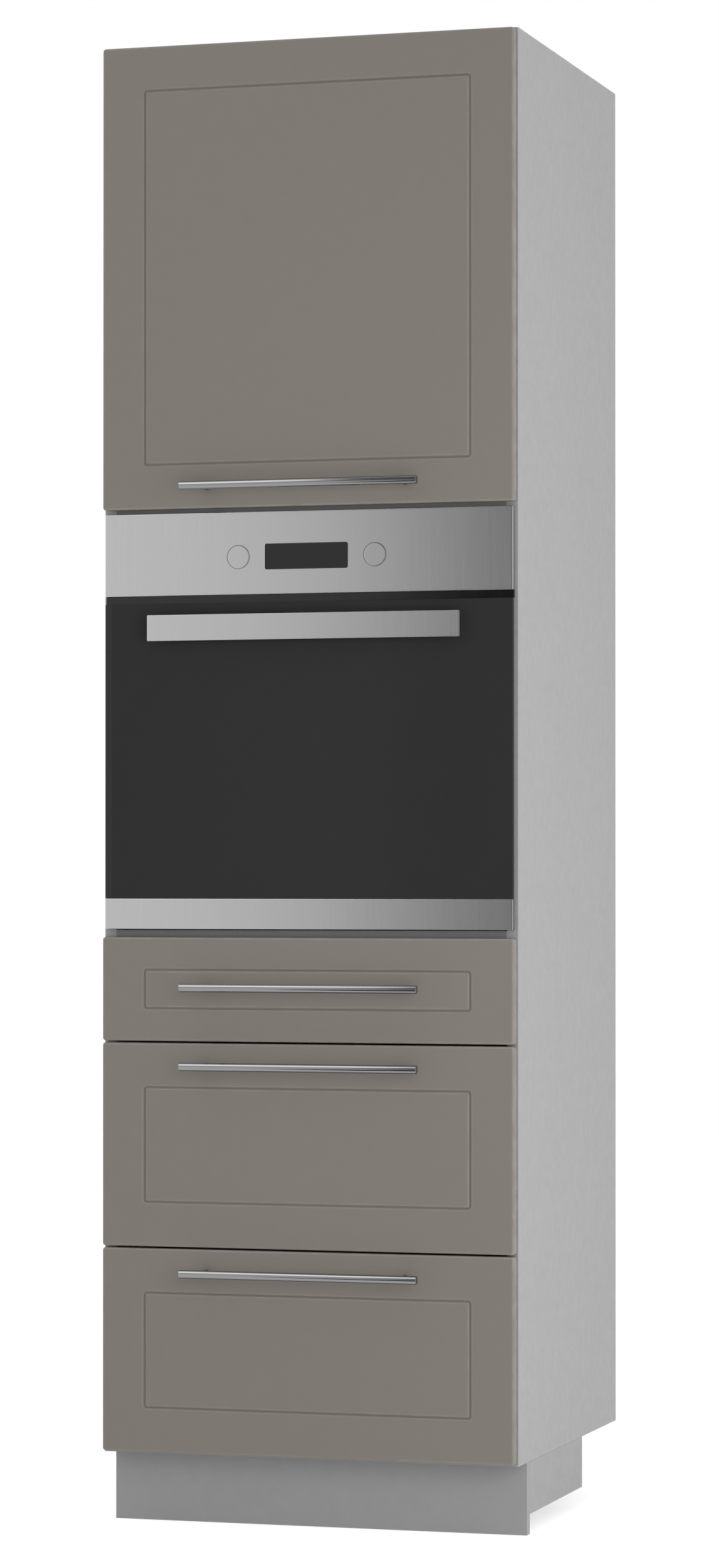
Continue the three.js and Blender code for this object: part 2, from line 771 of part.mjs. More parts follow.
// The arm that holds the door's pin, on the +X side.
function doorPinArm() {
  const [axisY, axisZ] = doorAxis;
  const end = doorHingeSpacing / 2;
  const start = end - doorArmThickness;
  const arm = barOutline([axisY, axisZ], [bodyFront + 1, axisZ], 2 * (doorPinRadius + doorPinWall));
  return join(
    alongX(arm, start, end, 5),
    rodX(doorPinRadius, end - 1, end + doorPinLength, axisY, axisZ, 12),
  );
}

// The folded sheet casing: the box round the cavity, the box behind the controls, and the side
// walls and flanges of the recess that the door shuts into.
function casingGeometry() {
  const bodyTop = ovenTop - ovenBodyDrop;
  const bodyBack = bodyFront + ovenBodyDepth;
  const ventBottom = doorTop + doorFit;
  const t = ovenSheet;
  const sides = [-1, 1].flatMap((side) => [
    box(
      ...onSide(side, bodyHalf - t, bodyHalf),
      -controlGap,
      bodyFront + 1,
      innerFrameBottom,
      ventBottom + 1,
    ),
    box(
      ...onSide(side, bodyHalf - 1, ovenHalf - flangeInset),
      -controlGap,
      0,
      ovenBottom + flangeRise,
      controlBottom,
    ),
  ]);
  const solid = join(
    wideBox(bodyHalf, bodyFront, bodyBack, ovenFloor, bodyTop),
    wideBox(bodyHalf, -controlGap, bodyFront + 1, ventBottom, bodyTop),
    wideBox(ovenHalf, ovenFace + ventSetback, -controlGap, ventBottom, controlBottom),
    ...sides,
  );
  const ventTop = bodyTop - rearVentDrop;
  return cut(
    solid,
    wideBox(bodyHalf - t, bodyFront + t, bodyBack - t, ovenFloor + t, bodyTop - t),
    wideBox(bodyHalf - t, t - controlGap, bodyFront + t + 1, ventBottom + t, bodyTop - t),
    wideBox(rearVentWidth / 2, bodyBack - t - 1, bodyBack + 1, ventTop - rearVentHeight, ventTop),
  );
}

// The oven's body: casing, enamelled liner, gasket, fan cover, the rail behind the controls that
// carries the spindles, and the two arms of the door's hinges.
function ovenBodyGeometry() {
  const liner = alongY(cavityOutline(ovenSheet), bodyFront, cavityBack + ovenSheet, 4);
  const rail = wideBox(
    bodyHalf - 1,
    spindleBack + runningFit,
    spindleBack + runningFit + ovenSheet,
    knobZ - spindleRailHeight / 2,
    knobZ + spindleRailHeight / 2,
  );
  const knobBores = [-1, 1].map((side) =>
    rodY(knobRadius + knobGap, -2, spindleBack, (side * knobSpacing) / 2, knobZ, 24),
  );
  const cavity = alongY(cavityOutline(), bodyFront - 5, cavityBack, 4);
  const fanZ = (cavityFloor + cavityTop) / 2;
  const fanCover = rodY(fanCoverRadius, cavityBack - fanCoverDepth, cavityBack + 1, 0, fanZ, 32);
  const arm = doorPinArm();
  const shell = cut(join(casingGeometry(), liner, gasketGeometry()), cavity, ...knobBores);
  return join(shell, rail, fanCover, arm, mirrored(arm));
}

// A plate as wide as the oven, its face at the oven's face, with a small round along its edges.
function facePlate(z0, z1, back, edge) {
  const depth = 2 * (back - ovenFace);
  const blank = edgedPlate(roundedRectangle(-ovenHalf, z0, ovenHalf, z1, 2 * edge), depth, edge, 2);
  const behind = wideBox(ovenHalf + 1, back - ovenFace, 2 * depth, z0 - 1, z1 + 1);
  return cut(blank, behind).translate(0, ovenFace, 0);
}

function controlPanelGeometry() {
  const blank = facePlate(controlBottom, ovenTop, -controlGap, 1);
  const knobHoles = [-1, 1].map((side) =>
    rodY(knobRadius + knobGap, ovenFace - 1, 0, (side * knobSpacing) / 2, knobZ, 32),
  );
  const display = wideBox(
    displayWidth / 2 + trimGap,
    ovenFace - 1,
    ovenFace + displayThickness + trimGap,
    knobZ - displayHeight / 2 - trimGap,
    knobZ + displayHeight / 2 + trimGap,
  );
  return cut(blank, display, ...knobHoles);
}

function displayGeometry() {
  const half = displayWidth / 2;
  const shape = roundedRectangle(-half, knobZ - displayHeight / 2, half, knobZ + displayHeight / 2, 2);
  return alongY(shape, ovenFace, ovenFace + displayThickness, 3);
}

// A retractable knob about the Y axis, its face at Y = 0, bored from behind for the spindle.
function knobGeometry() {
  const bore = spindleRadius + runningFit;
  const boreStart = knobLength - knobTravel - spindleHold;
  return turned(
    [
      [0, 0],
      [knobRadius - 1.2, 0],
      [knobRadius - 0.3, 0.4],
      [knobRadius, 1.4],
      [knobRadius, knobLength],
      [bore, knobLength],
      [bore, boreStart],
      [0, boreStart],
    ],
    32,
  );
}

// The shaft that a knob slides on, and its collar at the back of the bore.
function spindleGeometry() {
  const length = spindleBack - ovenFace;
  const tip = knobLength - knobTravel - spindleHold + runningFit;
  return turned(
    [
      [0, tip],
      [spindleRadius - 0.5, tip],
      [spindleRadius, tip + 0.6],
      [spindleRadius, length - 4],
      [spindleRadius + 5, length - 4],
      [spindleRadius + 5, length],
      [0, length],
    ],
    16,
  );
}

function doorFrameGeometry() {
  const [axisY, axisZ] = doorAxis;
  const wide = wideBox(ovenHalf - 1, plateBack, doorBack, ovenBottom, doorTop);
  const inner = wideBox(innerFrameHalf, doorBack - 1, doorInnerReach, innerFrameBottom, innerFrameTop);
  const view = roundedRectangle(
    -windowHalf,
    cavityFloor + windowLap,
    windowHalf,
    cavityTop - windowLap,
    windowLap,
  );
  const tray = wideBox(
    innerFrameHalf - doorFrameSheet,
    doorBack,
    doorInnerReach + 1,
    innerFrameBottom + doorFrameSheet,
    innerFrameTop - doorFrameSheet,
  );
  const notchStart = doorHingeSpacing / 2 - doorArmThickness - runningFit;
  const notchEnd = doorHingeSpacing / 2 + runningFit;
  const notchTop = axisZ + doorPinRadius + 1;
  const boreEnd = doorHingeSpacing / 2 + doorPinLength + runningFit;
  const hinges = [-1, 1].flatMap((side) => [
    box(...onSide(side, notchStart, notchEnd), plateBack - 1, doorBack + 1, ovenBottom - 1, notchTop),
    rodX(doorPinRadius + runningFit, ...onSide(side, notchEnd - 1, boreEnd), axisY, axisZ, 16),
  ]);
  return cut(join(wide, inner), tray, alongY(view, plateBack - 1, 0, 3), ...hinges);
}

function innerGlassGeometry() {
  const half = innerFrameHalf - 1;
  const shape = roundedRectangle(-half, innerFrameBottom + 1, half, innerFrameTop - 1, 6);
  return alongY(shape, doorInnerReach, innerGlassBack, 3);
}

function ovenHandleGeometry() {
  const top = doorTop - ovenHandleDrop;
  const face = ovenFace - ovenHandleGap - ovenHandleThickness;
  const half = ovenHandleLength / 2;
  const plate = alongY(
    roundedRectangle(-half, top - ovenHandleHeight, half, top, 1),
    face,
    face + ovenHandleThickness,
    2,
  );
  const posts = [-1, 1].map((side) => {
    const x = (side * ovenPostSpacing) / 2;
    const shape = roundedRectangle(
      x - ovenPostWidth / 2,
      top - ovenHandleHeight + ovenPostInset,
      x + ovenPostWidth / 2,
      top - ovenPostInset,
      4,
    );
    return alongY(shape, face + 1, ovenFace, 3);
  });
  return join(plate, ...posts);
}

// A wire shelf that rests on two ledges: a round frame with thinner wires across it.
function wireShelfGeometry() {
  const frameWire = 2.6;
  const crossWire = 1.5;
  const half = cavityWidth / 2 - 3;
  const front = bodyFront + 14;
  const back = cavityBack - fanCoverDepth - 8;
  const z = ledgeTop(shelfLevel) + frameWire;
  const wires = 13;
  const pieces = [
    rodX(frameWire, -half, half, front, z, 8),
    rodX(frameWire, -half, half, back, z, 8),
    rodY(frameWire, front, back, -half + frameWire, z, 8),
    rodY(frameWire, front, back, half - frameWire, z, 8),
  ];
  for (let wire = 1; wire <= wires; wire++) {
    const x = -half + (2 * half * wire) / (wires + 1);
    pieces.push(rodY(crossWire, front, back, x, z, 6));
  }
  return join(...pieces);
}

// The grill element: one tube that leaves the back wall, folds to and fro, and goes back in.
function grillGeometry() {
  const z = cavityTop - grillDrop;
  const back = cavityBack - runningFit;
  const front = bodyFront + grillFrontGap;
  const turnBack = cavityBack - grillBackGap;
  const bend = grillLanePitch / 3;
  const outer = grillInnerLane + 2 * grillLanePitch;
  const middle = grillInnerLane + grillLanePitch;
  const half = [
    [outer, back],
    [outer, front + 2 * bend],
    [outer - bend, front],
    [middle + bend, front],
    [middle, front + 2 * bend],
    [middle, turnBack - 1.5 * bend],
    [middle - bend, turnBack],
    [grillInnerLane + bend, turnBack],
    [grillInnerLane, turnBack - 1.5 * bend],
    [grillInnerLane, front + 2 * bend],
    [grillInnerLane - bend, front],
  ];
  const whole = [...half, ...half.map(([x, y]) => [-x, y]).reverse()];
  const path = new THREE.CatmullRomCurve3(
    whole.map(([x, y]) => new THREE.Vector3(x, y, z)),
    false,
    "centripetal",
  );
  const section = new THREE.Shape();
  section.absarc(0, 0, grillWire, 0, 2 * Math.PI);
  return new THREE.ExtrudeGeometry(section, { steps: 56, curveSegments: 3, extrudePath: path });
}

function oven() {
  const trimTop = ovenBottom + trimHeight;
  const pieces = [
    mesh("oven_body", ovenBodyGeometry(), ovenEnamel),
    mesh("oven_control_panel", controlPanelGeometry(), brushedSteel),
    mesh("oven_display", displayGeometry(), darkGlass),
    mesh("oven_door_frame", doorFrameGeometry(), ovenEnamel),
    mesh("oven_door_glass", facePlate(trimTop + trimGap, doorTop, plateBack, 0.6), darkGlass),
    mesh("oven_door_trim", facePlate(ovenBottom, trimTop, plateBack, 0.8), brushedSteel),
    mesh("oven_door_inner_glass", innerGlassGeometry(), darkGlass),
    mesh("oven_door_handle", ovenHandleGeometry(), brushedSteel),
    mesh("oven_wire_shelf", wireShelfGeometry(), polishedSteel),
    mesh("oven_grill_element", grillGeometry(), ovenEnamel),
  ];
  for (const [sideName, side] of Object.entries({ left: -1, right: 1 })) {
    const at = [(side * knobSpacing) / 2, ovenFace, knobZ];
    pieces.push(mesh(`oven_knob_${sideName}`, knobGeometry(), brushedSteel, at));
    pieces.push(mesh(`oven_spindle_${sideName}`, spindleGeometry(), zincSteel, at));
  }
  return groupOf(pieces);
}

// Drawers, each in a frame whose origin is the middle of its front's lower back edge

const drawerHalf = innerHalf - runnerWidth;
const railBottom = boxRise + railRise;
const flangeTop = railBottom + railHeight - railSheet - runnerPlay;
const flangeBottom = flangeTop - drawerSheet;
const channelFloor = railBottom + railSheet;
const rollerZ = (channelFloor + flangeBottom) / 2;
const rollerRadius = (flangeBottom - channelFloor) / 2 - runningFit;

// A folded steel side, on +X: a hooked rim, a foot for the bottom board, a runner flange, a roller.
function drawerSide(height) {
  const x = drawerHalf;
  const t = drawerSheet;
  const low = boxRise;
  const high = boxRise + height;
  const section = outline([
    [x, low],
    [x, flangeBottom],
    [x + flangeWidth, flangeBottom],
    [x + flangeWidth, flangeTop],
    [x, flangeTop],
    [x, high],
    [x - drawerRim, high],
    [x - drawerRim, high - drawerRimDrop],
    [x - drawerRim + t, high - drawerRimDrop],
    [x - drawerRim + t, high - t],
    [x - t, high - t],
    [x - t, low + t],
    [x - drawerFoot, low + t],
    [x - drawerFoot, low],
  ]);
  const rollerY = drawerLength - rollerRadius - 2;
  return join(
    alongY(section, 0, drawerLength),
    rodX(rollerRadius, x - t / 2, x + flangeWidth, rollerY, rollerZ, 16),
    box(x - t / 2, x + 2, rollerY - 4, rollerY + 4, rollerZ, flangeTop - t / 2),
  );
}

function drawerBoxGeometry(height) {
  const side = drawerSide(height);
  const low = boxRise + drawerSheet + drawerBottomThickness + bottomFit;
  const high = boxRise + height - drawerBackDrop;
  const half = drawerHalf - drawerSheet / 2;
  const back = wideBox(half, drawerLength - drawerSheet, drawerLength, low, high);
  const rim = wideBox(half, drawerLength - drawerBackRim, drawerLength, high - drawerSheet, high);
  return join(side, mirrored(side), back, rim);
}

// A cabinet runner on +X: a lipped channel screwed to the side panel, a roller at its front end.
function railGeometry() {
  const x = innerHalf;
  const t = railSheet;
  const low = railBottom;
  const high = railBottom + railHeight;
  const section = outline([
    [x, low],
    [x, high],
    [x - railLip, high],
    [x - railLip, high - t],
    [x - t, high - t],
    [x - t, low + t],
    [x - railLip, low + t],
    [x - railLip, low],
  ]);
  const start = frontBuffer + railSetback;
  const rollerY = start + rollerRadius + 2;
  const slotEnd = rollerY + rollerRadius + 2;
  const topSlot = box(x - railLip - 1, x - t, start - 1, slotEnd, high - t - 0.5, high + 1);
  return join(
    cut(alongY(section, start, drawerLength + frontBuffer), topSlot),
    rodX(rollerRadius, x - railLip, x - t / 2, rollerY, rollerZ, 16),
  );
}

function drawer(number, frontHeight, railWidth, boxHeight, handleDrop, frontBottom) {
  const rail = railGeometry();
  const bottomHalf = drawerHalf - drawerSheet - bottomFit;
  const bottomLow = boxRise + drawerSheet;
  const bottom = board(
    `drawer_${number}_bottom`,
    bottomHalf,
    [0, drawerLength - drawerSheet - bottomFit],
    [bottomLow, bottomLow + drawerBottomThickness],
    drawerBoard,
  );
  const made = groupOf(
    mesh(`drawer_${number}_front`, frontGeometry(frontHeight, railWidth), frontPaint),
    mesh(`drawer_${number}_handle`, barHandleGeometry(), polishedSteel, [
      0,
      -frontThickness,
      frontHeight - handleDrop,
    ]),
    mesh(`drawer_${number}_box`, drawerBoxGeometry(boxHeight), drawerSteel),
    bottom,
    mesh(`drawer_${number}_rail_right`, rail, zincSteel),
    mesh(`drawer_${number}_rail_left`, mirrored(rail), zincSteel),
  );
  made.position.set(0, -frontBuffer, frontBottom);
  return made;
}

const drawers = groupOf(
  drawer(1, smallFrontHeight, smallRailWidth, smallBoxHeight, smallHandleDrop, drawerFrontBottoms[0]),
  drawer(2, largeFrontHeight, stileWidth, largeBoxHeight, largeHandleDrop, drawerFrontBottoms[1]),
  drawer(3, largeFrontHeight, stileWidth, largeBoxHeight, largeHandleDrop, drawerFrontBottoms[2]),
);

const unit = groupOf(carcass(), plinth(), flap(), oven(), drawers);
unit.position.y = (frontReach - carcassDepth) / 2;
const group = groupOf(unit);

export default group;
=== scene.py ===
import math
import bpy, bmesh
from mathutils import Matrix, Vector


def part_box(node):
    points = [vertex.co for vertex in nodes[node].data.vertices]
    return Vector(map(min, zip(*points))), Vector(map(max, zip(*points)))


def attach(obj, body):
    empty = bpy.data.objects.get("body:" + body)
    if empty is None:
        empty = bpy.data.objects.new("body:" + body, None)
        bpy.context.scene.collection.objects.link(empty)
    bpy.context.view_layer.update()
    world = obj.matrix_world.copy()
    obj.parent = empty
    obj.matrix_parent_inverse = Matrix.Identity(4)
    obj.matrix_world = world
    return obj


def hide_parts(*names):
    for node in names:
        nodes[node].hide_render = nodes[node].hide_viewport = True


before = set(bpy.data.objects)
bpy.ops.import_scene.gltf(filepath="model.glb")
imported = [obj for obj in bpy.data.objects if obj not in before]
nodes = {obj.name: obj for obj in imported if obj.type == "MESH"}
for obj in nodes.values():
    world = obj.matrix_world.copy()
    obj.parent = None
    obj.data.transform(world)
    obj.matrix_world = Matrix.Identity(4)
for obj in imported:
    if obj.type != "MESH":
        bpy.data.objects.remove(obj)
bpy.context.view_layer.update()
scene = bpy.context.scene
mm = 0.001


# a colour given as the eye reads it, 0 to 255, in the linear values that blender wants
def tone(r, g=None, b=None):
    g, b = (r, r) if g is None else (g, b)
    return tuple(((c / 255 + 0.055) / 1.055) ** 2.4 if c > 10.3 else c / 3294.6 for c in (r, g, b)) + (1.0,)


# a plain value or another node's output, whichever is given, put into a socket
def wire(tree, source, socket):
    if isinstance(source, (int, float, tuple, str)):
        socket.default_value = source
    else:
        tree.links.new(source, socket)


# a node with its settings, and what goes into it by the name or number of each input
def add(tree, kind, inputs=None, **settings):
    node = tree.nodes.new(kind)
    for key, value in settings.items():
        setattr(node, key, value)
    for label, source in (inputs or {}).items():
        wire(tree, source, node.inputs[label])
    return node


def calc(tree, operation, first, second=0.0):
    return add(tree, "ShaderNodeMath", {0: first, 1: second}, operation=operation).outputs[0]


def multiply(tree, first, second):
    return calc(tree, "MULTIPLY", first, second)


def remap(tree, value, low, high, toLow, toHigh):
    limits = {"From Min": low, "From Max": high, "To Min": toLow, "To Max": toHigh}
    return add(tree, "ShaderNodeMapRange", {"Value": value, **limits}, clamp=True).outputs["Result"]


def mixColour(tree, factor, first, second):
    return add(tree, "ShaderNodeMix", {0: factor, 6: first, 7: second}, data_type="RGBA").outputs[2]


# A node group with named inputs and outputs. An input's default tells its kind, or a text names the kind.
def newGroup(name, kind, inputs, outputs):
    group = bpy.data.node_groups.new(name, kind)
    for label, value in inputs.items():
        if isinstance(value, str):
            group.interface.new_socket(name=label, in_out="INPUT", socket_type=value)
            continue
        if isinstance(value, tuple):
            socketKind = "NodeSocketColor" if len(value) == 4 else "NodeSocketVector"
        else:
            socketKind = "NodeSocketInt" if isinstance(value, int) else "NodeSocketFloat"
        group.interface.new_socket(name=label, in_out="INPUT", socket_type=socketKind).default_value = value
    for label, socketKind in outputs.items():
        group.interface.new_socket(name=label, in_out="OUTPUT", socket_type=socketKind)
    return group, add(group, "NodeGroupInput").outputs, add(group, "NodeGroupOutput").inputs


# edges that hands and cloths have rubbed a little paler, a paleness that on the fronts is also a painted
# highlight, and hollows darkened as painted shade
def makeEdgeWearAndPaintedLight():
    group, given, result = newGroup(
        "edgeWearAndPaintedLight", "ShaderNodeTree",
        {"Colour": (0.5, 0.5, 0.5, 1), "Worn And Painted Highlight Colour": (0.8, 0.8, 0.8, 1), "Amount": 0.4, "Patchiness": 40.0,
         "Vector": (0, 0, 0), "Painted Hollow Shade Colour": (0.2, 0.2, 0.2, 1), "Painted Hollow Shade Amount": 0.0},
        {"Colour": "NodeSocketColor", "Mask": "NodeSocketFloat"})
    pointiness = add(group, "ShaderNodeNewGeometry").outputs["Pointiness"]
    patches = add(group, "ShaderNodeTexNoise", {"Vector": given["Vector"], "Scale": given["Patchiness"]})
    patchy = remap(group, patches.outputs["Fac"], 0.35, 0.65, 0.35, 1.0)
    rim = remap(group, pointiness, 0.505, 0.56, 0.0, 1.0)
    mask = multiply(group, multiply(group, rim, patchy), given["Amount"])
    colour = mixColour(group, mask, given["Colour"], given["Worn And Painted Highlight Colour"])
    # painted shade: concave places such as a groove's floor are darkened in colour, where shade would fall
    paintedHollowShade = multiply(group, remap(group, pointiness, 0.495, 0.46, 0.0, 1.0), given["Painted Hollow Shade Amount"])
    group.links.new(mixColour(group, paintedHollowShade, colour, given["Painted Hollow Shade Colour"]), result["Colour"])
    group.links.new(mask, result["Mask"])
    return group


# a fine even grain, stretched by its scale in each direction, and a soft one far wider than it
def makeGrain():
    group, given, result = newGroup(
        "grain", "ShaderNodeTree",
        {"Vector": (0, 0, 0), "Stretch": (1, 1, 1), "Scale": 900.0, "Detail": 3.0, "Low": 0.3, "High": 0.7},
        {"Value": "NodeSocketFloat", "Soft": "NodeSocketFloat"})
    stretched = add(group, "ShaderNodeVectorMath", {0: given["Vector"], 1: given["Stretch"]},
                    operation="MULTIPLY").outputs[0]
    for label, share in (("Value", 1.0), ("Soft", 0.06)):
        scale = multiply(group, given["Scale"], share)
        noise = add(group, "ShaderNodeTexNoise", {"Vector": stretched, "Scale": scale,
                                                  "Detail": given["Detail"]})
        spread = remap(group, noise.outputs["Fac"], given["Low"], given["High"], 0.0, 1.0)
        group.links.new(spread, result[label])
    return group


# a thin veil of dust on what faces up, broken by noise
def makeDust():
    group, given, result = newGroup(
        "dust", "ShaderNodeTree",
        {"Colour": (0.5, 0.5, 0.5, 1), "Dust Colour": tone(186, 182, 176), "Amount": 0.15,
         "Vector": (0, 0, 0)},
        {"Colour": "NodeSocketColor", "Mask": "NodeSocketFloat"})
    normal = add(group, "ShaderNodeNewGeometry").outputs["Normal"]
    up = remap(group, add(group, "ShaderNodeSeparateXYZ", {0: normal}).outputs["Z"], 0.2, 1.0, 0.0, 1.0)
    clouds = add(group, "ShaderNodeTexNoise", {"Vector": given["Vector"], "Scale": 14.0, "Detail": 5.0})
    veil = remap(group, clouds.outputs["Fac"], 0.38, 0.7, 0.2, 1.0)
    mask = multiply(group, multiply(group, up, veil), given["Amount"])
    group.links.new(mixColour(group, mask, given["Colour"], given["Dust Colour"]), result["Colour"])
    group.links.new(mask, result["Mask"])
    return group


edgeWearAndPaintedLight, grain, dust = makeEdgeWearAndPaintedLight(), makeGrain(), makeDust()


# one of the groups, set down in a material
def use(tree, group, inputs):
    return add(tree, "ShaderNodeGroup", inputs, node_tree=group).outputs


# a new material with its tree, its shader's inputs and the object's own coordinates
def newMaterial(name):
    material = bpy.data.materials.new(name)
    material.use_nodes = True
    tree = material.node_tree
    where = add(tree, "ShaderNodeTexCoord").outputs["Object"]
    return material, tree, tree.nodes["Principled BSDF"].inputs, where


# relief from a height, its depth in millimetres
def addBump(tree, shader, height, strength, depth):
    bump = add(tree, "ShaderNodeBump", {"Strength": strength, "Distance": depth * mm, "Height": height})
    tree.links.new(bump.outputs["Normal"], shader["Normal"])


# A finish with a tinted grain, worn edges that some finishes also use as a painted highlight, painted shade
# in its hollows where asked, a little dust and a bumped surface. What differs from one finish to the next is
# in its own dictionary.
def makeFinish(name, look):
    material, tree, shader, where = newMaterial(name)
    fine = use(tree, grain, {"Vector": where, "Scale": look["grain"], "Low": look.get("low", 0.3),
                             "High": look.get("high", 0.7), "Stretch": look.get("stretch", (1, 1, 1))})
    tinted = mixColour(tree, fine["Value"], look["dark"], look["light"])
    if "cloud" in look:
        tinted = mixColour(tree, multiply(tree, fine["Soft"], look["cloudAmount"]), tinted, look["cloud"])
    worn = use(tree, edgeWearAndPaintedLight, {"Colour": tinted, "Worn And Painted Highlight Colour": look.get("edge", look["light"]),
                                "Amount": look.get("wear", 0.3), "Vector": where,
                                "Painted Hollow Shade Colour": look.get("paintedHollowShade", look["dark"]),
                                "Painted Hollow Shade Amount": look.get("paintedHollowShadeAmount", 0.0)})
    dusty = use(tree, dust, {"Colour": worn["Colour"], "Amount": look.get("dust", 0.1), "Vector": where})
    tree.links.new(dusty["Colour"], shader["Base Color"])
    rough = remap(tree, fine["Soft"], 0.0, 1.0, *look["rough"])
    dulled = add(tree, "ShaderNodeMath", {0: dusty["Mask"], 1: 0.5, 2: rough}, operation="MULTIPLY_ADD",
                 use_clamp=True)
    tree.links.new(dulled.outputs[0], shader["Roughness"])
    addBump(tree, shader, fine["Value"], look["bump"], look["height"])
    for label, value in look.get("shader", {}).items():
        shader[label].default_value = value
    return material


finishes = {
    # lacquered foil on the milled fronts: matt taupe with the faintest orange peel; its paler rounded edges
    # are partly wear and partly a painted highlight, and its darker groove is painted shade
    "frontTaupe": dict(dark=tone(129, 123, 116), light=tone(132, 126, 119), cloud=tone(128, 122, 115),
                       cloudAmount=0.4, edge=tone(178, 172, 165), wear=0.6, paintedHollowShade=tone(98, 92, 86),
                       paintedHollowShadeAmount=0.65, grain=700.0, rough=(0.40, 0.50), bump=0.05, height=0.06, dust=0.04,
                       shader={"Specular IOR Level": 0.42}),
    "frontBack": dict(dark=tone(176), light=tone(186), grain=1500.0, rough=(0.5, 0.62), bump=0.08,
                      height=0.05, edge=tone(196), wear=0.3),
    # grey melamine on the chipboard panels, with its pressed pearl texture
    "panelGrey": dict(dark=tone(178), light=tone(179), cloud=tone(176), cloudAmount=0.25, edge=tone(192),
                      wear=0.3, grain=1300.0, rough=(0.46, 0.60), bump=0.12, height=0.06, dust=0.08,
                      shader={"Specular IOR Level": 0.35}),
    "edgeBand": dict(dark=tone(146), light=tone(156), edge=tone(178), wear=0.4, grain=900.0,
                     stretch=(1, 1, 0.15), rough=(0.38, 0.5), bump=0.08, height=0.05),
    # painted shade: the oven shelves' banded front edges, in the shade behind the flap and door, get a darker
    # grey
    "shelfBandPaintedShade": dict(dark=tone(114), light=tone(120), edge=tone(128), wear=0.2, grain=900.0,
                      rough=(0.4, 0.52), bump=0.08, height=0.05),
    "backHardboard": dict(dark=tone(196, 195, 190), light=tone(212, 211, 207), cloud=tone(188, 186, 180),
                          cloudAmount=0.25, edge=tone(150, 128, 104), wear=0.5, grain=420.0,
                          rough=(0.55, 0.7), bump=0.18, height=0.08, dust=0.12),
    "rawChipboard": dict(dark=tone(126, 98, 68), light=tone(196, 170, 132), grain=420.0, low=0.4, high=0.6,
                         rough=(0.75, 0.9), bump=0.5, height=0.3),
    "plinthGrey": dict(dark=tone(152, 152, 153), light=tone(155, 155, 156), cloud=tone(150, 150, 151),
                       cloudAmount=0.4, edge=tone(168), wear=0.35, grain=1100.0, rough=(0.42, 0.55),
                       bump=0.1, height=0.06, dust=0.12),
    # painted light: the same grey plinth board, lighter on the faces that look sideways
    "plinthSidePaintedLight": dict(dark=tone(166, 166, 167), light=tone(170, 170, 171), edge=tone(186), wear=0.3,
                      grain=1300.0, rough=(0.46, 0.6), bump=0.12, height=0.06),
    "legBlack": dict(dark=tone(28), light=tone(38), edge=tone(74), wear=0.35, grain=500.0,
                     rough=(0.45, 0.62), bump=0.25, height=0.1, dust=0.25),
    "zincPlate": dict(dark=tone(176, 178, 180), light=tone(200, 201, 202), cloud=tone(164, 167, 170),
                      cloudAmount=0.25, edge=tone(232), wear=0.5, grain=260.0, rough=(0.28, 0.42),
                      bump=0.06, height=0.05, dust=0.05, shader={"Metallic": 1.0}),
    "drawerWhite": dict(dark=tone(204, 205, 207), light=tone(216, 217, 218), edge=tone(232), wear=0.35,
                        grain=1600.0, rough=(0.34, 0.46), bump=0.12, height=0.05, dust=0.05),
    "drawerBoardGrey": dict(dark=tone(204, 204, 202), light=tone(218, 218, 216), cloud=tone(196, 196, 193),
                            cloudAmount=0.4, grain=1200.0, rough=(0.48, 0.6), bump=0.1, height=0.05,
                            dust=0.08),
    "ovenEnamel": dict(dark=tone(24, 25, 28), light=tone(38, 39, 43), cloud=tone(44, 46, 51),
                       cloudAmount=0.15, edge=tone(84, 84, 88), wear=0.3, grain=1500.0, low=0.45, high=0.8,
                       rough=(0.16, 0.26), bump=0.1, height=0.06, dust=0.03),
    "ventBlack": dict(dark=tone(3), light=tone(6), edge=tone(30), wear=0.2, grain=700.0, rough=(0.12, 0.18),
                      bump=0.03, height=0.03, dust=0.0, shader={"Specular IOR Level": 0.45}),
    "frameBlack": dict(dark=tone(30), light=tone(38), edge=tone(96), wear=0.4, grain=1500.0,
                       rough=(0.34, 0.46), bump=0.12, height=0.05),
    "elementSteel": dict(dark=tone(66, 63, 61), light=tone(96, 93, 90), cloud=tone(52, 48, 46),
                         cloudAmount=0.6, grain=700.0, rough=(0.4, 0.6), bump=0.2, height=0.06,
                         shader={"Metallic": 0.8}),
    "wireChrome": dict(dark=tone(198), light=tone(222), edge=tone(240), wear=0.4, grain=900.0,
                       rough=(0.1, 0.18), bump=0.02, height=0.02, shader={"Metallic": 1.0}),
    "rubberGrey": dict(dark=tone(52), light=tone(66), edge=tone(96), wear=0.2, grain=900.0,
                       rough=(0.6, 0.75), bump=0.3, height=0.08),
    "nylonWhite": dict(dark=tone(214, 213, 206), light=tone(226, 225, 219), edge=tone(238), wear=0.2,
                       grain=800.0, rough=(0.35, 0.48), bump=0.1, height=0.05),
    "capGrey": dict(dark=tone(160), light=tone(170), edge=tone(190), wear=0.2, grain=900.0,
                    rough=(0.4, 0.52), bump=0.1, height=0.05),
}
finish = {name: makeFinish(name, look) for name, look in finishes.items()}


# stainless steel with long fine streaks in tint, roughness and relief
def makeSteel(name, look):
    material, tree, shader, where = newMaterial(name)
    streaks = use(tree, grain, {"Vector": where, "Stretch": look["stretch"], "Scale": look["grain"],
                                "Detail": 5.0, "Low": 0.32, "High": 0.68})
    tinted = mixColour(tree, streaks["Value"], look["dark"], look["light"])
    tinted = mixColour(tree, multiply(tree, streaks["Soft"], look["broad"]), tinted, look["band"])
    tree.links.new(tinted, shader["Base Color"])
    tree.links.new(remap(tree, streaks["Value"], 0.0, 1.0, *look["rough"]), shader["Roughness"])
    addBump(tree, shader, streaks["Value"], look["bump"], look["height"])
    shader["Metallic"].default_value = 1.0
    shader["Anisotropic"].default_value = look["aniso"]
    return material


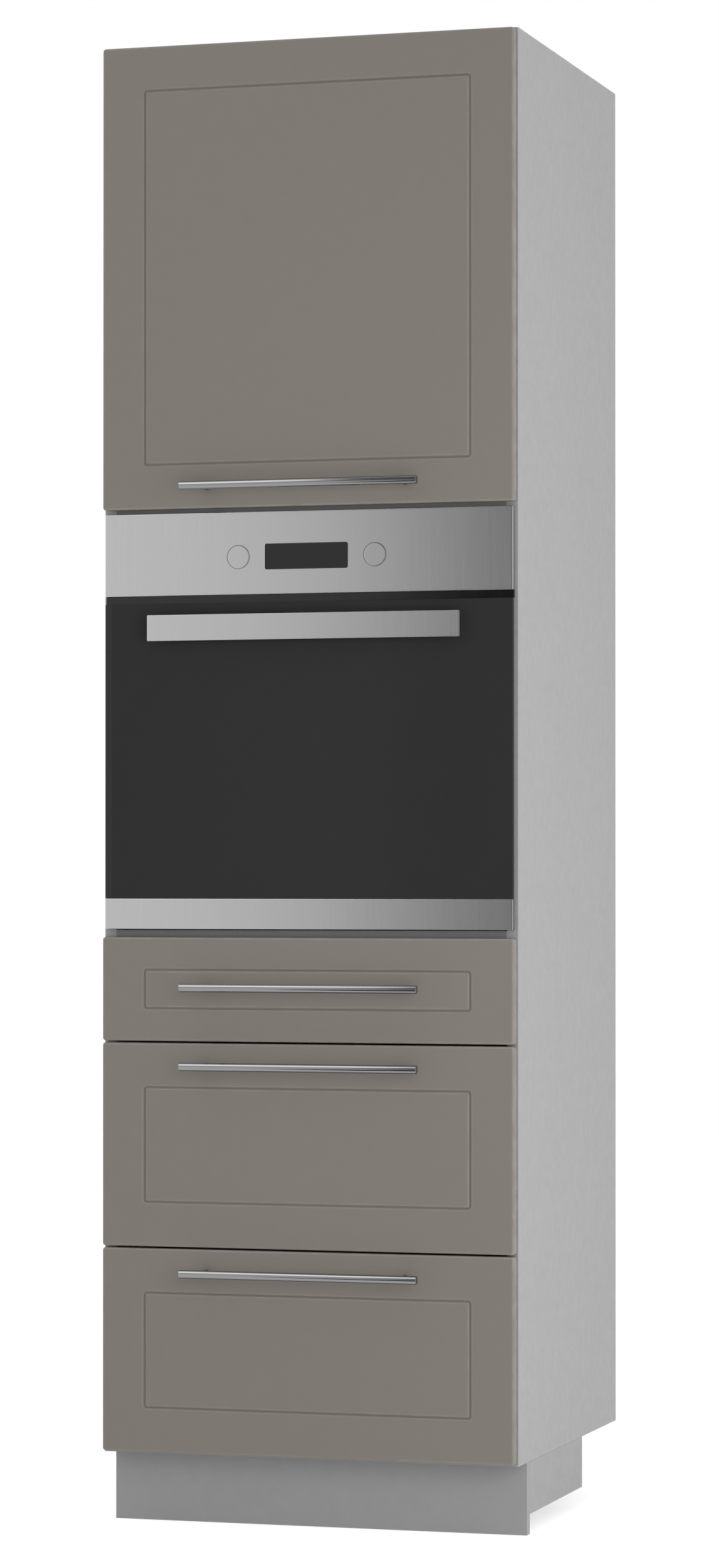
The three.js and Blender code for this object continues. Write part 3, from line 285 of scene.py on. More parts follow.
steels = {
    # satin, brushed upright: the oven's panel, trim, handle and knobs
    "ovenSteel": dict(dark=tone(188), light=tone(193), band=tone(186), broad=0.3, grain=1500.0,
                      stretch=(1, 1, 0.006), rough=(0.195, 0.215), bump=0.012, height=0.03, aniso=0.6),
    # polished along the bars; the posts take a darker copy of the same steel, painted shade
    "barSteel": dict(dark=tone(139, 139, 140), light=tone(144, 144, 145), band=tone(138, 138, 139), broad=0.3,
                     grain=900.0, stretch=(0.02, 1, 1), rough=(0.09, 0.13), bump=0.02, height=0.03,
                     aniso=0.0),
    "postSteelPaintedShade": dict(dark=tone(84), light=tone(92), band=tone(82), broad=0.3, grain=900.0,
                      stretch=(1, 0.02, 1), rough=(0.12, 0.18), bump=0.02, height=0.03, aniso=0.0),
}
finish.update({name: makeSteel(name, look) for name, look in steels.items()})


# near-black glass, faintly smeared, with borders each from one place to another along an axis: printed ones
# on the inner pane, and a paler band down the left edge of the door's outer glass that is a painted
# reflection
def makeDarkGlass(name, look):
    material, tree, shader, where = newMaterial(name)
    split = add(tree, "ShaderNodeSeparateXYZ", {0: where}).outputs
    smear = use(tree, grain, {"Vector": where, "Scale": 260.0, "Detail": 4.0, "Low": 0.3, "High": 0.8})
    colour = mixColour(tree, smear["Soft"], look["glass"], look["smear"])
    for axis, start, end in look["borders"]:
        printAndPaintedReflection = remap(tree, split[axis], start * mm, end * mm, 0.0, 1.0)
        colour = mixColour(tree, printAndPaintedReflection, colour, look["border"])
    tree.links.new(colour, shader["Base Color"])
    tree.links.new(remap(tree, smear["Value"], 0.0, 1.0, *look["rough"]), shader["Roughness"])
    shader["Specular IOR Level"].default_value = look["gloss"]
    return material


glasses = {
    # painted reflection: the paler band at the door glass's left edge stands in for light caught there
    "doorGlass": dict(glass=tone(50), smear=tone(51), border=tone(56, 56, 57), rough=(0.10, 0.13), gloss=0.05,
                      borders=(("X", -285.6, -286.2),)),
    "displayGlass": dict(glass=tone(45), smear=tone(46), rough=(0.08, 0.11), gloss=0.12, borders=()),
    "innerGlass": dict(glass=tone(26, 28, 29), smear=tone(30, 31, 32), border=tone(12), rough=(0.04, 0.07),
                       gloss=0.5, borders=(("X", -212.0, -213.0), ("X", 212.0, 213.0),
                                           ("Z", 1204.0, 1205.0), ("Z", 906.0, 905.0))),
}
finish.update({name: makeDarkGlass(name, look) for name, look in glasses.items()})


# the pressed glass over the oven's lamp, frosted and faintly warm
def makeLampGlass(name, look):
    material, tree, shader, where = newMaterial(name)
    ripple = use(tree, grain, {"Vector": where, "Scale": look["grain"], "Detail": 2.0})["Value"]
    tree.links.new(mixColour(tree, ripple, look["dark"], look["light"]), shader["Base Color"])
    tree.links.new(remap(tree, ripple, 0.0, 1.0, *look["rough"]), shader["Roughness"])
    addBump(tree, shader, ripple, look["bump"], look["height"])
    shader["Transmission Weight"].default_value = look["clear"]
    shader["IOR"].default_value = look["bend"]
    return material


lampLook = dict(dark=tone(206, 204, 196), light=tone(236, 233, 224), grain=420.0, rough=(0.12, 0.3), bump=0.4,
                height=0.3, clear=0.4, bend=1.47)
finish["lampGlass"] = makeLampGlass("lampGlass", lampLook)
print("materials:", len(bpy.data.materials))


# From here meshes are made in millimetres, and meshOf brings them to metres.
def meshOf(name, bm, outward=True):
    if outward:
        bmesh.ops.recalc_face_normals(bm, faces=bm.faces)
    bmesh.ops.scale(bm, vec=(mm, mm, mm), verts=bm.verts)
    mesh = bpy.data.meshes.new(name)
    bm.to_mesh(mesh)
    bm.free()
    return mesh


def linked(name, data):
    piece = bpy.data.objects.new(name, data)
    scene.collection.objects.link(piece)
    return piece


# the evaluated mesh takes the place of the mesh and its modifiers
def flatten(piece):
    bpy.context.view_layer.update()
    graph = bpy.context.evaluated_depsgraph_get()
    made = bpy.data.meshes.new_from_object(piece.evaluated_get(graph), preserve_all_data_layers=True,
                                           depsgraph=graph)
    old = piece.data
    piece.modifiers.clear()
    piece.data = made
    bpy.data.meshes.remove(old)
    made.name = piece.name
    return piece


def mount(piece, body, replaced=()):
    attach(piece, body)
    if replaced:
        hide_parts(*replaced)
    return piece


# The piece's last steps: faces outward, holes cut, sharp edges by angle, and flat faces that stay flat
# beside round ones.
def finishPiece(name, bm, material, body, replaced=(), angle=32, outward=True, cutter=None):
    mesh = meshOf(name, bm, outward)
    for one in (material if isinstance(material, list) else [material]):
        mesh.materials.append(finish[one])
    piece = linked(name, mesh)
    if cutter:
        tool = linked("cutter", meshOf("cutter", cutter))
        for one in mesh.materials:
            tool.data.materials.append(one)
        drill = piece.modifiers.new("drill", "BOOLEAN")
        drill.object, drill.operation, drill.solver = tool, "DIFFERENCE", "EXACT"
        flatten(piece)
        bpy.data.objects.remove(tool)
    piece.data.shade_smooth()
    piece.data.set_sharp_from_angle(angle=math.radians(angle))
    weighted = piece.modifiers.new("weighted", "WEIGHTED_NORMAL")
    weighted.keep_sharp = True
    flatten(piece)
    return mount(piece, body, replaced)


def boxOf(node):
    low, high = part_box(node)
    return low / mm, high / mm


def middleOf(node):
    low, high = boxOf(node)
    return (low + high) / 2


# where a turned profile stands: its Z axis along a direction, at a point
def spotAt(x, y, z, along):
    turn = Vector((0, 0, 1)).rotation_difference(Vector(along)).to_matrix().to_4x4()
    return Matrix.Translation((x, y, z)) @ turn


# a round profile of (radius, height), turned about the Z axis of its spot
def revolve(bm, profile, sides, spot):
    rings = []
    for radius, along in profile:
        if radius < 1e-6:
            rings.append([bm.verts.new(spot @ Vector((0, 0, along)))])
            continue
        angles = [math.tau * k / sides for k in range(sides)]
        rings.append([bm.verts.new(spot @ Vector((radius * math.cos(a), radius * math.sin(a), along)))
                      for a in angles])
    for first, second in zip(rings, rings[1:]):
        for k in range(sides):
            n = (k + 1) % sides
            if len(first) == 1 and len(second) > 1:
                bm.faces.new((first[0], second[k], second[n]))
            elif len(second) == 1 and len(first) > 1:
                bm.faces.new((first[k], second[0], first[n]))
            elif len(first) > 1:
                bm.faces.new((first[k], second[k], second[n], first[n]))


# a loop of points round a rectangle with round corners, at a depth y
def cornered(x0, z0, x1, z1, radius, y, steps):
    loop = []
    for cx, cz, start in ((x1 - radius, z1 - radius, 0), (x0 + radius, z1 - radius, 90),
                          (x0 + radius, z0 + radius, 180), (x1 - radius, z0 + radius, 270)):
        for k in range(steps + 1):
            a = math.radians(start + 90 * k / steps)
            loop.append((cx + radius * math.cos(a), y, cz + radius * math.sin(a)))
    return loop


# rings of as many points each, skinned one to the next and closed at both ends
def skin(bm, loops, closed=True):
    rings = [[bm.verts.new(p) for p in loop] for loop in loops]
    count = len(rings[0])
    for first, second in zip(rings, rings[1:]):
        for k in range(count):
            n = (k + 1) % count
            bm.faces.new((first[k], first[n], second[n], second[k]))
    if closed:
        bm.faces.new(rings[0])
        bm.faces.new(list(reversed(rings[-1])))


# a plate facing -Y: rounded corners, and an edge turned over with a radius at its face
def plate(bm, x0, z0, x1, z1, face, back, corner, edge, steps=5):
    rear, rest = 0.2, edge + 1.2  # the small edge behind, and how far in the flat face is ringed once more
    loops = [cornered(x0 + rear, z0 + rear, x1 - rear, z1 - rear, corner, back, steps),
             cornered(x0, z0, x1, z1, corner, back - rear, steps)]
    for k in range(steps + 1):
        a = math.radians(90 * k / steps)
        inset = edge * (1 - math.cos(a))
        loops.append(cornered(x0 + inset, z0 + inset, x1 - inset, z1 - inset, max(corner - inset, 0.3),
                              face + edge * (1 - math.sin(a)), steps))
    loops.append(cornered(x0 + rest, z0 + rest, x1 - rest, z1 - rest, 0.3, face, steps))
    skin(bm, loops)


def slab(bm, x0, x1, y0, y1, z0, z1, bevel):
    made = bmesh.ops.create_cube(bm, size=1.0)["verts"]
    for v in made:
        v.co = Vector(((x0 + x1) / 2 + v.co.x * (x1 - x0), (y0 + y1) / 2 + v.co.y * (y1 - y0),
                       (z0 + z1) / 2 + v.co.z * (z1 - z0)))
    edges = {e for v in made for e in v.link_edges}
    bmesh.ops.bevel(bm, geom=list(edges), offset=bevel, segments=2, profile=0.5, affect="EDGES")


# round cutters for holes sunk into a piece: (x, y, z, along, radius, depth)
def bores(holes, sides=48):
    bm = bmesh.new()
    for x, y, z, along, radius, depth in holes:
        profile = [(0, -depth), (radius, -depth), (radius, depth), (0, depth)]
        revolve(bm, profile, sides, spotAt(x, y, z, along))
    return bm


dressing = dict(merge=0.00002, flat=1.0, sharp=30.0, margin=1.2)  # metres, degrees, degrees, millimetres


# A cad node's own mesh with its doubles merged, flats dissolved and edges broken by a small round. The
# margin inside each wide face keeps the wear along its edges.
def dressed(node, material, body, bevel=0.4, segments=2, angle=32, paint=None):
    bm = bmesh.new()
    bm.from_mesh(nodes[node].data)
    bmesh.ops.remove_doubles(bm, verts=bm.verts, dist=dressing["merge"])
    bmesh.ops.dissolve_limit(bm, angle_limit=math.radians(dressing["flat"]), verts=bm.verts, edges=bm.edges)
    bmesh.ops.scale(bm, vec=(1 / mm, 1 / mm, 1 / mm), verts=bm.verts)
    if paint:
        for face in bm.faces:
            face.material_index = paint(face.calc_center_median(), face.normal)
    if bevel:
        sharp = [e for e in bm.edges
                 if len(e.link_faces) == 2 and e.calc_face_angle(0) > math.radians(dressing["sharp"])]
        bmesh.ops.bevel(bm, geom=sharp, offset=bevel, segments=segments, profile=0.5, affect="EDGES",
                        clamp_overlap=True)
    wide = [f for f in bm.faces
            if len(f.verts) == 4 and min(e.calc_length() for e in f.edges) > 4 * dressing["margin"]]
    bmesh.ops.inset_individual(bm, faces=wide, thickness=dressing["margin"], use_even_offset=True)
    return finishPiece(node + "_look", bm, material, body, (node,), angle, outward=False)


# What repeats is laid out by a geometry nodes tree, with its sizes as named inputs in metres.
def newLayout(name, inputs):
    inputs = {"Geometry": "NodeSocketGeometry", **inputs, "Material": "NodeSocketMaterial"}
    return newGroup(name, "GeometryNodeTree", inputs, {"Geometry": "NodeSocketGeometry"})


def vector(tree, x=0.0, y=0.0, z=0.0):
    return add(tree, "ShaderNodeCombineXYZ", {0: x, 1: y, 2: z}).outputs[0]


def cone(tree, low, high, depth, sides):
    sizes = {"Vertices": sides, "Radius Bottom": low, "Radius Top": high, "Depth": depth}
    return add(tree, "GeometryNodeMeshCone", sizes).outputs["Mesh"]


def cube(tree, x, y, z):
    return add(tree, "GeometryNodeMeshCube", {"Size": vector(tree, x, y, z)}).outputs["Mesh"]


def raised(tree, geometry, height):
    return add(tree, "GeometryNodeTransform", {"Geometry": geometry,
                                               "Translation": vector(tree, z=height)}).outputs[0]


def joined(tree, *parts):
    node = add(tree, "GeometryNodeJoinGeometry")
    for part in parts:
        tree.links.new(part, node.inputs[0])
    return node.outputs[0]


def carved(tree, solid, *cutters):
    node = add(tree, "GeometryNodeMeshBoolean", {"Mesh 1": solid}, operation="DIFFERENCE")
    for cutter in cutters:
        tree.links.new(cutter, node.inputs["Mesh 2"])
    return node.outputs["Mesh"]


def copies(tree, points, form, **more):
    return add(tree, "GeometryNodeInstanceOnPoints", {"Points": points, "Instance": form, **more}).outputs[0]


def madeReal(tree, geometry):
    return add(tree, "GeometryNodeRealizeInstances", {0: geometry}).outputs[0]


# Every tree ends the same way: its form on each point, its Z axis along the point's own "facing", as
# real geometry with one finish.
def endLayout(tree, given, result, form):
    facing = add(tree, "GeometryNodeInputNamedAttribute", {"Name": "facing"}, data_type="FLOAT_VECTOR")
    aim = add(tree, "FunctionNodeAlignRotationToVector", {"Vector": facing.outputs["Attribute"]}, axis="Z")
    placed = copies(tree, given["Geometry"], form, Rotation=aim.outputs["Rotation"])
    painted = add(tree, "GeometryNodeSetMaterial", {"Geometry": madeReal(tree, placed),
                                                    "Material": given["Material"]})
    tree.links.new(painted.outputs[0], result[0])
    return tree


# a screw's head: a low cone on a thin rim, with a cross cut into it
def makeScrewTree():
    tree, given, result = newLayout("screwHeads", {"Head Radius": 0.0035, "Head Height": 0.0012,
                                                   "Cross Width": 0.0008})
    radius, height, cross = (given[label] for label in ("Head Radius", "Head Height", "Cross Width"))
    rimHeight = multiply(tree, height, 0.4)
    rim = cone(tree, radius, radius, rimHeight, 20)
    crown = cone(tree, radius, multiply(tree, radius, 0.62), multiply(tree, height, 0.6), 20)
    span = multiply(tree, radius, 1.15)
    cuts = [raised(tree, cube(tree, *size), height)
            for size in ((span, cross, height), (cross, span, height))]
    crown = carved(tree, raised(tree, crown, rimHeight), *cuts)
    return endLayout(tree, given, result, joined(tree, rim, crown))


# a flat disc with a softened rim: nails, cover caps, bumpers
def makeDiscTree():
    tree, given, result = newLayout("smallDiscs", {"Radius": 0.004, "Height": 0.001, "Rim": 0.0004})
    radius, rim = given["Radius"], given["Rim"]
    depth = calc(tree, "SUBTRACT", given["Height"], rim)
    crown = raised(tree, cone(tree, radius, calc(tree, "SUBTRACT", radius, rim), rim, 24), depth)
    return endLayout(tree, given, result, joined(tree, cone(tree, radius, radius, depth, 24), crown))


# the sleeve in a shelf hole
def makeSleeveTree():
    tree, given, result = newLayout("sleeves", {"Radius": 0.0036, "Bore": 0.0022, "Height": 0.0006})
    radius, bore = given["Radius"], given["Bore"]
    hole = raised(tree, cone(tree, bore, bore, 0.02, 16), -0.01)
    ring = carved(tree, cone(tree, radius, multiply(tree, radius, 0.92), given["Height"], 16), hole)
    return endLayout(tree, given, result, ring)


# a stack of louvres, each turned about its own length
def makeLouvreTree():
    tree, given, result = newLayout("louvres", {"Length": 0.1, "Width": 0.006, "Thickness": 0.001,
                                                "Pitch": (0, 0, 0.004), "Count": 4, "Tilt": 0.5})
    slat = cube(tree, given["Length"], given["Width"], given["Thickness"])
    slat = add(tree, "GeometryNodeTransform", {"Geometry": slat, "Rotation": vector(tree, given["Tilt"])})
    line = add(tree, "GeometryNodeMeshLine", {"Count": given["Count"], "Offset": given["Pitch"]},
               mode="OFFSET")
    return endLayout(tree, given, result, copies(tree, line.outputs["Mesh"], slat.outputs[0]))


# the fan's cover: a pressed disc with rings of round holes, six more holes in each ring
def makeFanTree():
    tree, given, result = newLayout("fanCover", {"Radius": 0.08, "Thickness": 0.001, "Hole Radius": 0.0035,
                                                 "Ring Pitch": 0.013})
    radius, thick, hole = (given[label] for label in ("Radius", "Thickness", "Hole Radius"))
    disc = cone(tree, radius, calc(tree, "SUBTRACT", radius, thick), thick, 64)
    rings = []
    for ring in (1, 2, 3, 4):
        away = multiply(tree, given["Ring Pitch"], float(ring))
        circle = add(tree, "GeometryNodeMeshCircle", {"Vertices": 6 * ring, "Radius": away})
        rings.append(circle.outputs["Mesh"])
    punch = raised(tree, cone(tree, hole, hole, 0.02, 12), -0.01)
    punches = madeReal(tree, copies(tree, joined(tree, *rings), punch))
    return endLayout(tree, given, result, carved(tree, disc, punches))


# upright ribs round a leg's stem
def makeRibTree():
    tree, given, result = newLayout("legRibs", {"Stem Radius": 0.0145, "Rib Depth": 0.004,
                                                "Rib Width": 0.0016, "Rib Height": 0.04, "Count": 10})
    circle = add(tree, "GeometryNodeMeshCircle", {"Vertices": given["Count"], "Radius": given["Stem Radius"]})
    rib = cube(tree, given["Rib Depth"], given["Rib Width"], given["Rib Height"])
    outward = add(tree, "GeometryNodeInputPosition").outputs[0]
    aim = add(tree, "FunctionNodeAlignRotationToVector", {"Vector": outward}, axis="X", pivot_axis="Z")
    ribs = copies(tree, circle.outputs["Mesh"], rib, Rotation=aim.outputs["Rotation"])
    return endLayout(tree, given, result, ribs)


# a wire shelf: a bent frame with thinner wires laid across it
def makeWireTree():
    tree, given, result = newLayout("wireShelf", {"Width": 0.44, "Depth": 0.38, "Frame Radius": 0.0026,
                                                  "Wire Radius": 0.0015, "Corner": 0.012, "Inset": 0.018,
                                                  "Count": 15})
    width, depth, thick, thin = (given[label] for label in ("Width", "Depth", "Frame Radius", "Wire Radius"))
    outline = add(tree, "GeometryNodeCurvePrimitiveQuadrilateral", {"Width": width, "Height": depth},
                  mode="RECTANGLE")
    rounded = add(tree, "GeometryNodeFilletCurve", {"Curve": outline.outputs[0], "Count": 6,
                                                    "Radius": given["Corner"]}, mode="POLY")
    section = add(tree, "GeometryNodeCurvePrimitiveCircle", {"Resolution": 12, "Radius": thick},
                  mode="RADIUS")
    rim = add(tree, "GeometryNodeCurveToMesh", {"Curve": rounded.outputs[0],
                                                "Profile Curve": section.outputs[0]})
    rod = add(tree, "GeometryNodeMeshCylinder", {"Vertices": 10, "Radius": thin, "Depth": depth})
    rod = add(tree, "GeometryNodeTransform", {"Geometry": rod.outputs["Mesh"],
                                              "Rotation": (math.pi / 2, 0.0, 0.0)})
    reach = calc(tree, "SUBTRACT", multiply(tree, width, 0.5), given["Inset"])
    ends = {"Start Location": vector(tree, multiply(tree, reach, -1.0)), "Offset": vector(tree, reach)}
    line = add(tree, "GeometryNodeMeshLine", {"Count": given["Count"], **ends}, mode="END_POINTS")
    rods = copies(tree, line.outputs["Mesh"], rod.outputs[0])
    rods = raised(tree, rods, calc(tree, "SUBTRACT", thick, thin))
    return endLayout(tree, given, result, joined(tree, rim.outputs[0], rods))


trees = {"screws": makeScrewTree(), "discs": makeDiscTree(), "sleeves": makeSleeveTree(),
         "louvres": makeLouvreTree(), "fan": makeFanTree(), "ribs": makeRibTree(), "wires": makeWireTree()}


# Points in millimetres, each with the way it faces, run through a tree and kept as a plain mesh.
def layOut(name, tree, points, values, material, body, replaced=()):
    mesh = bpy.data.meshes.new(name + "Points")
    mesh.from_pydata([[c * mm for c in point] for point, facing in points], [], [])
    facings = mesh.attributes.new("facing", "FLOAT_VECTOR", "POINT")
    facings.data.foreach_set("vector", [c for point, facing in points for c in facing])
    piece = linked(name, mesh)
    modifier = piece.modifiers.new("layout", "NODES")
    modifier.node_group = trees[tree]
    values = {**values, "Material": finish[material]}
    for item in trees[tree].interface.items_tree:
        if item.item_type == "SOCKET" and item.in_out == "INPUT" and item.name in values:
            modifier[item.identifier] = values[item.name]
    flatten(piece)
    piece.data.set_sharp_from_angle(angle=math.radians(32))
    return mount(piece, body, replaced)


# (head radius, head height, cross width) of each kind of screw
screwSizes = dict(sheet=(4.0, 1.8, 0.9), fan=(3.6, 1.6, 0.8), arm=(3.6, 1.3, 0.85), cup=(2.4, 0.9, 0.6),
                  bracket=(3.2, 1.3, 0.85), liftBox=(4.2, 1.4, 1.0), bar=(4.4, 1.4, 1.0), leg=(3.0, 1.0, 0.7),
                  runner=(3.4, 1.1, 0.85), front=(3.2, 1.0, 0.85))


def screws(name, kind, points, body):
    sizes = zip(("Head Radius", "Head Height", "Cross Width"), screwSizes[kind])
    return layOut(name, "screws", points, {label: size * mm for label, size in sizes}, "zincPlate", body)


print("geometry node trees:", len(trees))


camera = dict(place=(1.9088, -6.2923, 0.9063), yaw=16.8568, tilt=0.4002, lens=104.92,
              shift=(-0.00218, 0.03884))
eye = linked("camera", bpy.data.cameras.new("camera"))
eye.location = camera["place"]
eye.rotation_euler = (math.radians(90 + camera["tilt"]), 0, math.radians(camera["yaw"]))
eye.data.lens = camera["lens"]
eye.data.sensor_width = 36
eye.data.shift_x, eye.data.shift_y = camera["shift"]
eye.data.clip_end = 100
scene.camera = eye
scene.view_settings.view_transform = "Standard"


# the milled fronts: a round-over at the edge and one groove all round
fronts = dict(edge=3.0, corner=4.0, backEdge=0.4, flatFrom=1.4, stile=60.0, grooveWidth=4.6, grooveDepth=1.6,
              grooveCorner=6.0)
rails = {"flap": 60.0, "drawer_1": 43.5, "drawer_2": 60.0, "drawer_3": 60.0}
cups = dict(across=210.0, height=2045.5, radius=17.8, depth=12.3)
frontsBack = boxOf("flap_front")[1].y
# the groove's section: across it in half widths, down as a share of its depth, with a flat ring on each side
grooveSection = ((-2.2, 0), (-1.25, 0), (-1.0, 0.06), (-0.78, 0.34), (-0.45, 0.82), (0, 1), (0.45, 0.82),
                 (0.78, 0.34), (1.0, 0.06), (1.25, 0), (2.2, 0))


def groovedFront(name, node, rail, body, holes=()):
    low, high = boxOf(node)
    face, back = low.y, high.y
    edge, corner, backEdge = fronts["edge"], fronts["corner"], fronts["backEdge"]

    def loop(side, end, radius, y):
        return cornered(low.x + side, low.z + end, high.x - side, high.z - end, radius, y, 6)

    loops = [loop(backEdge, backEdge, corner, back), loop(0, 0, corner, back - backEdge)]
    for k in range(7):
        a = math.radians(15 * k)
        inset = edge * (1 - math.cos(a))
        loops.append(loop(inset, inset, max(corner - inset, 1.0), face + edge * (1 - math.sin(a))))
    loops.append(loop(edge + fronts["flatFrom"], edge + fronts["flatFrom"], 1.0, face))
    for across, down in grooveSection:
        shift = fronts["grooveWidth"] / 2 * (1 + across)
        radius = max(fronts["grooveCorner"] - shift, 0.8)
        loops.append(loop(fronts["stile"] + shift, rail + shift, radius, face + fronts["grooveDepth"] * down))
    bm = bmesh.new()
    skin(bm, loops)
    bmesh.ops.recalc_face_normals(bm, faces=bm.faces)
    for one in bm.faces:
        one.material_index = 1 if one.normal.y > 0.9 and one.calc_center_median().y > back - 0.1 else 0
    cutter = bores(holes) if holes else None
    finishPiece(name, bm, ["frontTaupe", "frontBack"], body, (node,), 50, cutter=cutter)


cupHoles = [(side * cups["across"], frontsBack, cups["height"], (0, 1, 0), cups["radius"], cups["depth"])
            for side in (-1, 1)]
groovedFront("flapFront", "flap_front", rails["flap"], "flap", cupHoles)
for number in (1, 2, 3):
    body = f"drawer_{number}"
    groovedFront(f"drawerFront{number}", f"{body}_front", rails[body], body)

# the bar handles, each on two posts
bars = dict(radius=5.85, chamfer=0.35, axisIn=5.0, axisDown=0.2, postRadius=3.8, postSpacing=288.0)


def barHandle(name, node, body):
    low, high = boxOf(node)
    y, z = low.y + bars["axisIn"], (low.z + high.z) / 2 - bars["axisDown"]
    radius, chamfer, half = bars["radius"], bars["chamfer"], (high.x - low.x) / 2
    bm = bmesh.new()
    revolve(bm, [(0, -half), (radius - chamfer, -half), (radius, -half + chamfer), (radius, half - chamfer),
                 (radius - chamfer, half), (0, half)], 64, spotAt(0, y, z, (1, 0, 0)))
    barFaces = len(bm.faces)
    reach, post = high.y - y, bars["postRadius"]
    for side in (-1, 1):
        revolve(bm, [(0, 0), (post - 0.4, 0), (post, 0.4), (post, reach), (0, reach)], 40,
                spotAt(side * bars["postSpacing"] / 2, high.y, z, (0, -1, 0)))
    # painted shade: the posts take the darker copy of the bar's steel
    for face in list(bm.faces)[barFaces:]:
        face.material_index = 1
    finishPiece(name, bm, ["barSteel", "postSteelPaintedShade"], body, (node,), angle=30)


barHandle("flapHandle", "flap_handle", "flap")
for number in (1, 2, 3):
    barHandle(f"drawerHandle{number}", f"drawer_{number}_handle", f"drawer_{number}")

# what holds the bars: two screw heads behind each front
for name, body in (("flapBarScrews", "flap"), ("barScrews1", "drawer_1"), ("barScrews2", "drawer_2"),
                   ("barScrews3", "drawer_3")):
    z = middleOf(f"{body}_handle").z
    x = bars["postSpacing"] / 2
    screws(name, "bar", [((side * x, frontsBack, z), (0, 1, 0)) for side in (-1, 1)], body)

# small white bumpers in the lower corners of each front's back
bumpers = dict(across=291.0, up=8.0, sizes={"Radius": 0.004, "Height": 0.0009, "Rim": 0.00035})
for body in ("flap", "drawer_1", "drawer_2", "drawer_3"):
    z = boxOf(f"{body}_front")[0].z + bumpers["up"]
    spots = [((side * bumpers["across"], frontsBack, z), (0, 1, 0)) for side in (-1, 1)]
    layOut(f"bumpers_{body}", "discs", spots, bumpers["sizes"], "nylonWhite", body)
print("fronts, bar handles and bumpers made")


# the boards of the carcass, banded along their front edges, bare chipboard behind
boards = dict(edgeRound=0.35, backRound=0.3, plinthRound=0.5, bandDepth=1.0, rawDepth=5.0)
boardFront, boardRear = (corner.y for corner in boxOf("side_panel_left"))


def paintBoard(centre, normal):
    if normal.y < -0.5 and centre.y < boardFront + boards["bandDepth"]:
        return 1
    return 2 if normal.y > 0.5 and centre.y > boardRear - boards["rawDepth"] else 0


for node in ("side_panel_left", "side_panel_right", "top_panel", "bottom_panel", "oven_shelf_lower",
             "oven_shelf_upper", "cupboard_shelf"):
    # painted shade: the two oven shelves' banded edges take the darker grey of the shade they sit in
    band = "shelfBandPaintedShade" if "oven" in node else "edgeBand"
    dressed(node, ["panelGrey", band, "rawChipboard"], "carcass", boards["edgeRound"],
            paint=paintBoard)
for node in ("back_panel_upper", "back_panel_lower"):
    dressed(node, "backHardboard", "carcass", boards["backRound"])


# the plinth's faces that look sideways are painted a little lighter than its front, painted light on the same
# board, and the returns are bare on top
def paintPlinth(centre, normal):
    return 1 if abs(normal.x) > 0.5 else 0


def paintReturn(centre, normal):
    return 2 if normal.z >= 0.5 else paintPlinth(centre, normal)


dressed("plinth_front", ["plinthGrey", "plinthSidePaintedLight"], "carcass", boards["plinthRound"],
        paint=paintPlinth)
for node in ("plinth_return_left", "plinth_return_right"):
    dressed(node, ["plinthGrey", "plinthSidePaintedLight", "rawChipboard"], "carcass",
            boards["plinthRound"], paint=paintReturn)
print("boards dressed")


# the oven's control panel with its knobs and display
panel = dict(edge=1.0, corner=1.4, knobHole=16.8, knobHoleDepth=14.0, liner=0.45, linerDepth=11.5)
display = dict(gap=0.4, cutCorner=3.0, corner=2.8, edge=0.6, sunk=0.1)
knob = dict(radius=16.15, round=0.7, bore=3.3, boreDepth=18.0)
knobSpots = [middleOf(f"oven_knob_{side}") for side in ("left", "right")]

low, high = boxOf("oven_control_panel")
ovenFace = low.y
bm = bmesh.new()
plate(bm, low.x, low.z, high.x, high.z, low.y, high.y, panel["corner"], panel["edge"])
cutter = bores([(s.x, ovenFace, s.z, (0, 1, 0), panel["knobHole"], panel["knobHoleDepth"])
                for s in knobSpots], 96)
low, high = boxOf("oven_display")
gap = display["gap"]
skin(cutter, [cornered(low.x - gap, low.z - gap, high.x + gap, high.z + gap, display["cutCorner"], y, 6)
              for y in (low.y - 2, high.y + gap)])
finishPiece("controlPanel", bm, "ovenSteel", "carcass", ("oven_control_panel",), 40,
            cutter=cutter)

bm = bmesh.new()
plate(bm, low.x, low.z, high.x, high.z, low.y + display["sunk"], high.y, display["corner"], display["edge"])
finishPiece("displayWindow", bm, "displayGlass", "carcass", ("oven_display",), 40)

# bright liners round the knobs, a step inside the panel's face
bm = bmesh.new()
outer, depth = panel["knobHole"] - 0.02, panel["linerDepth"]
inner = outer - panel["liner"]
for s in knobSpots:
    revolve(bm, [(outer, 0.2), (outer - 0.15, 0.05), (inner + 0.1, 0.05), (inner, 0.2), (inner, depth),
                 (outer, depth), (outer, 0.2)], 96, spotAt(s.x, ovenFace, s.z, (0, 1, 0)))
bmesh.ops.remove_doubles(bm, verts=bm.verts, dist=0.001)
finishPiece("knobLiners", bm, "ovenSteel", "carcass")

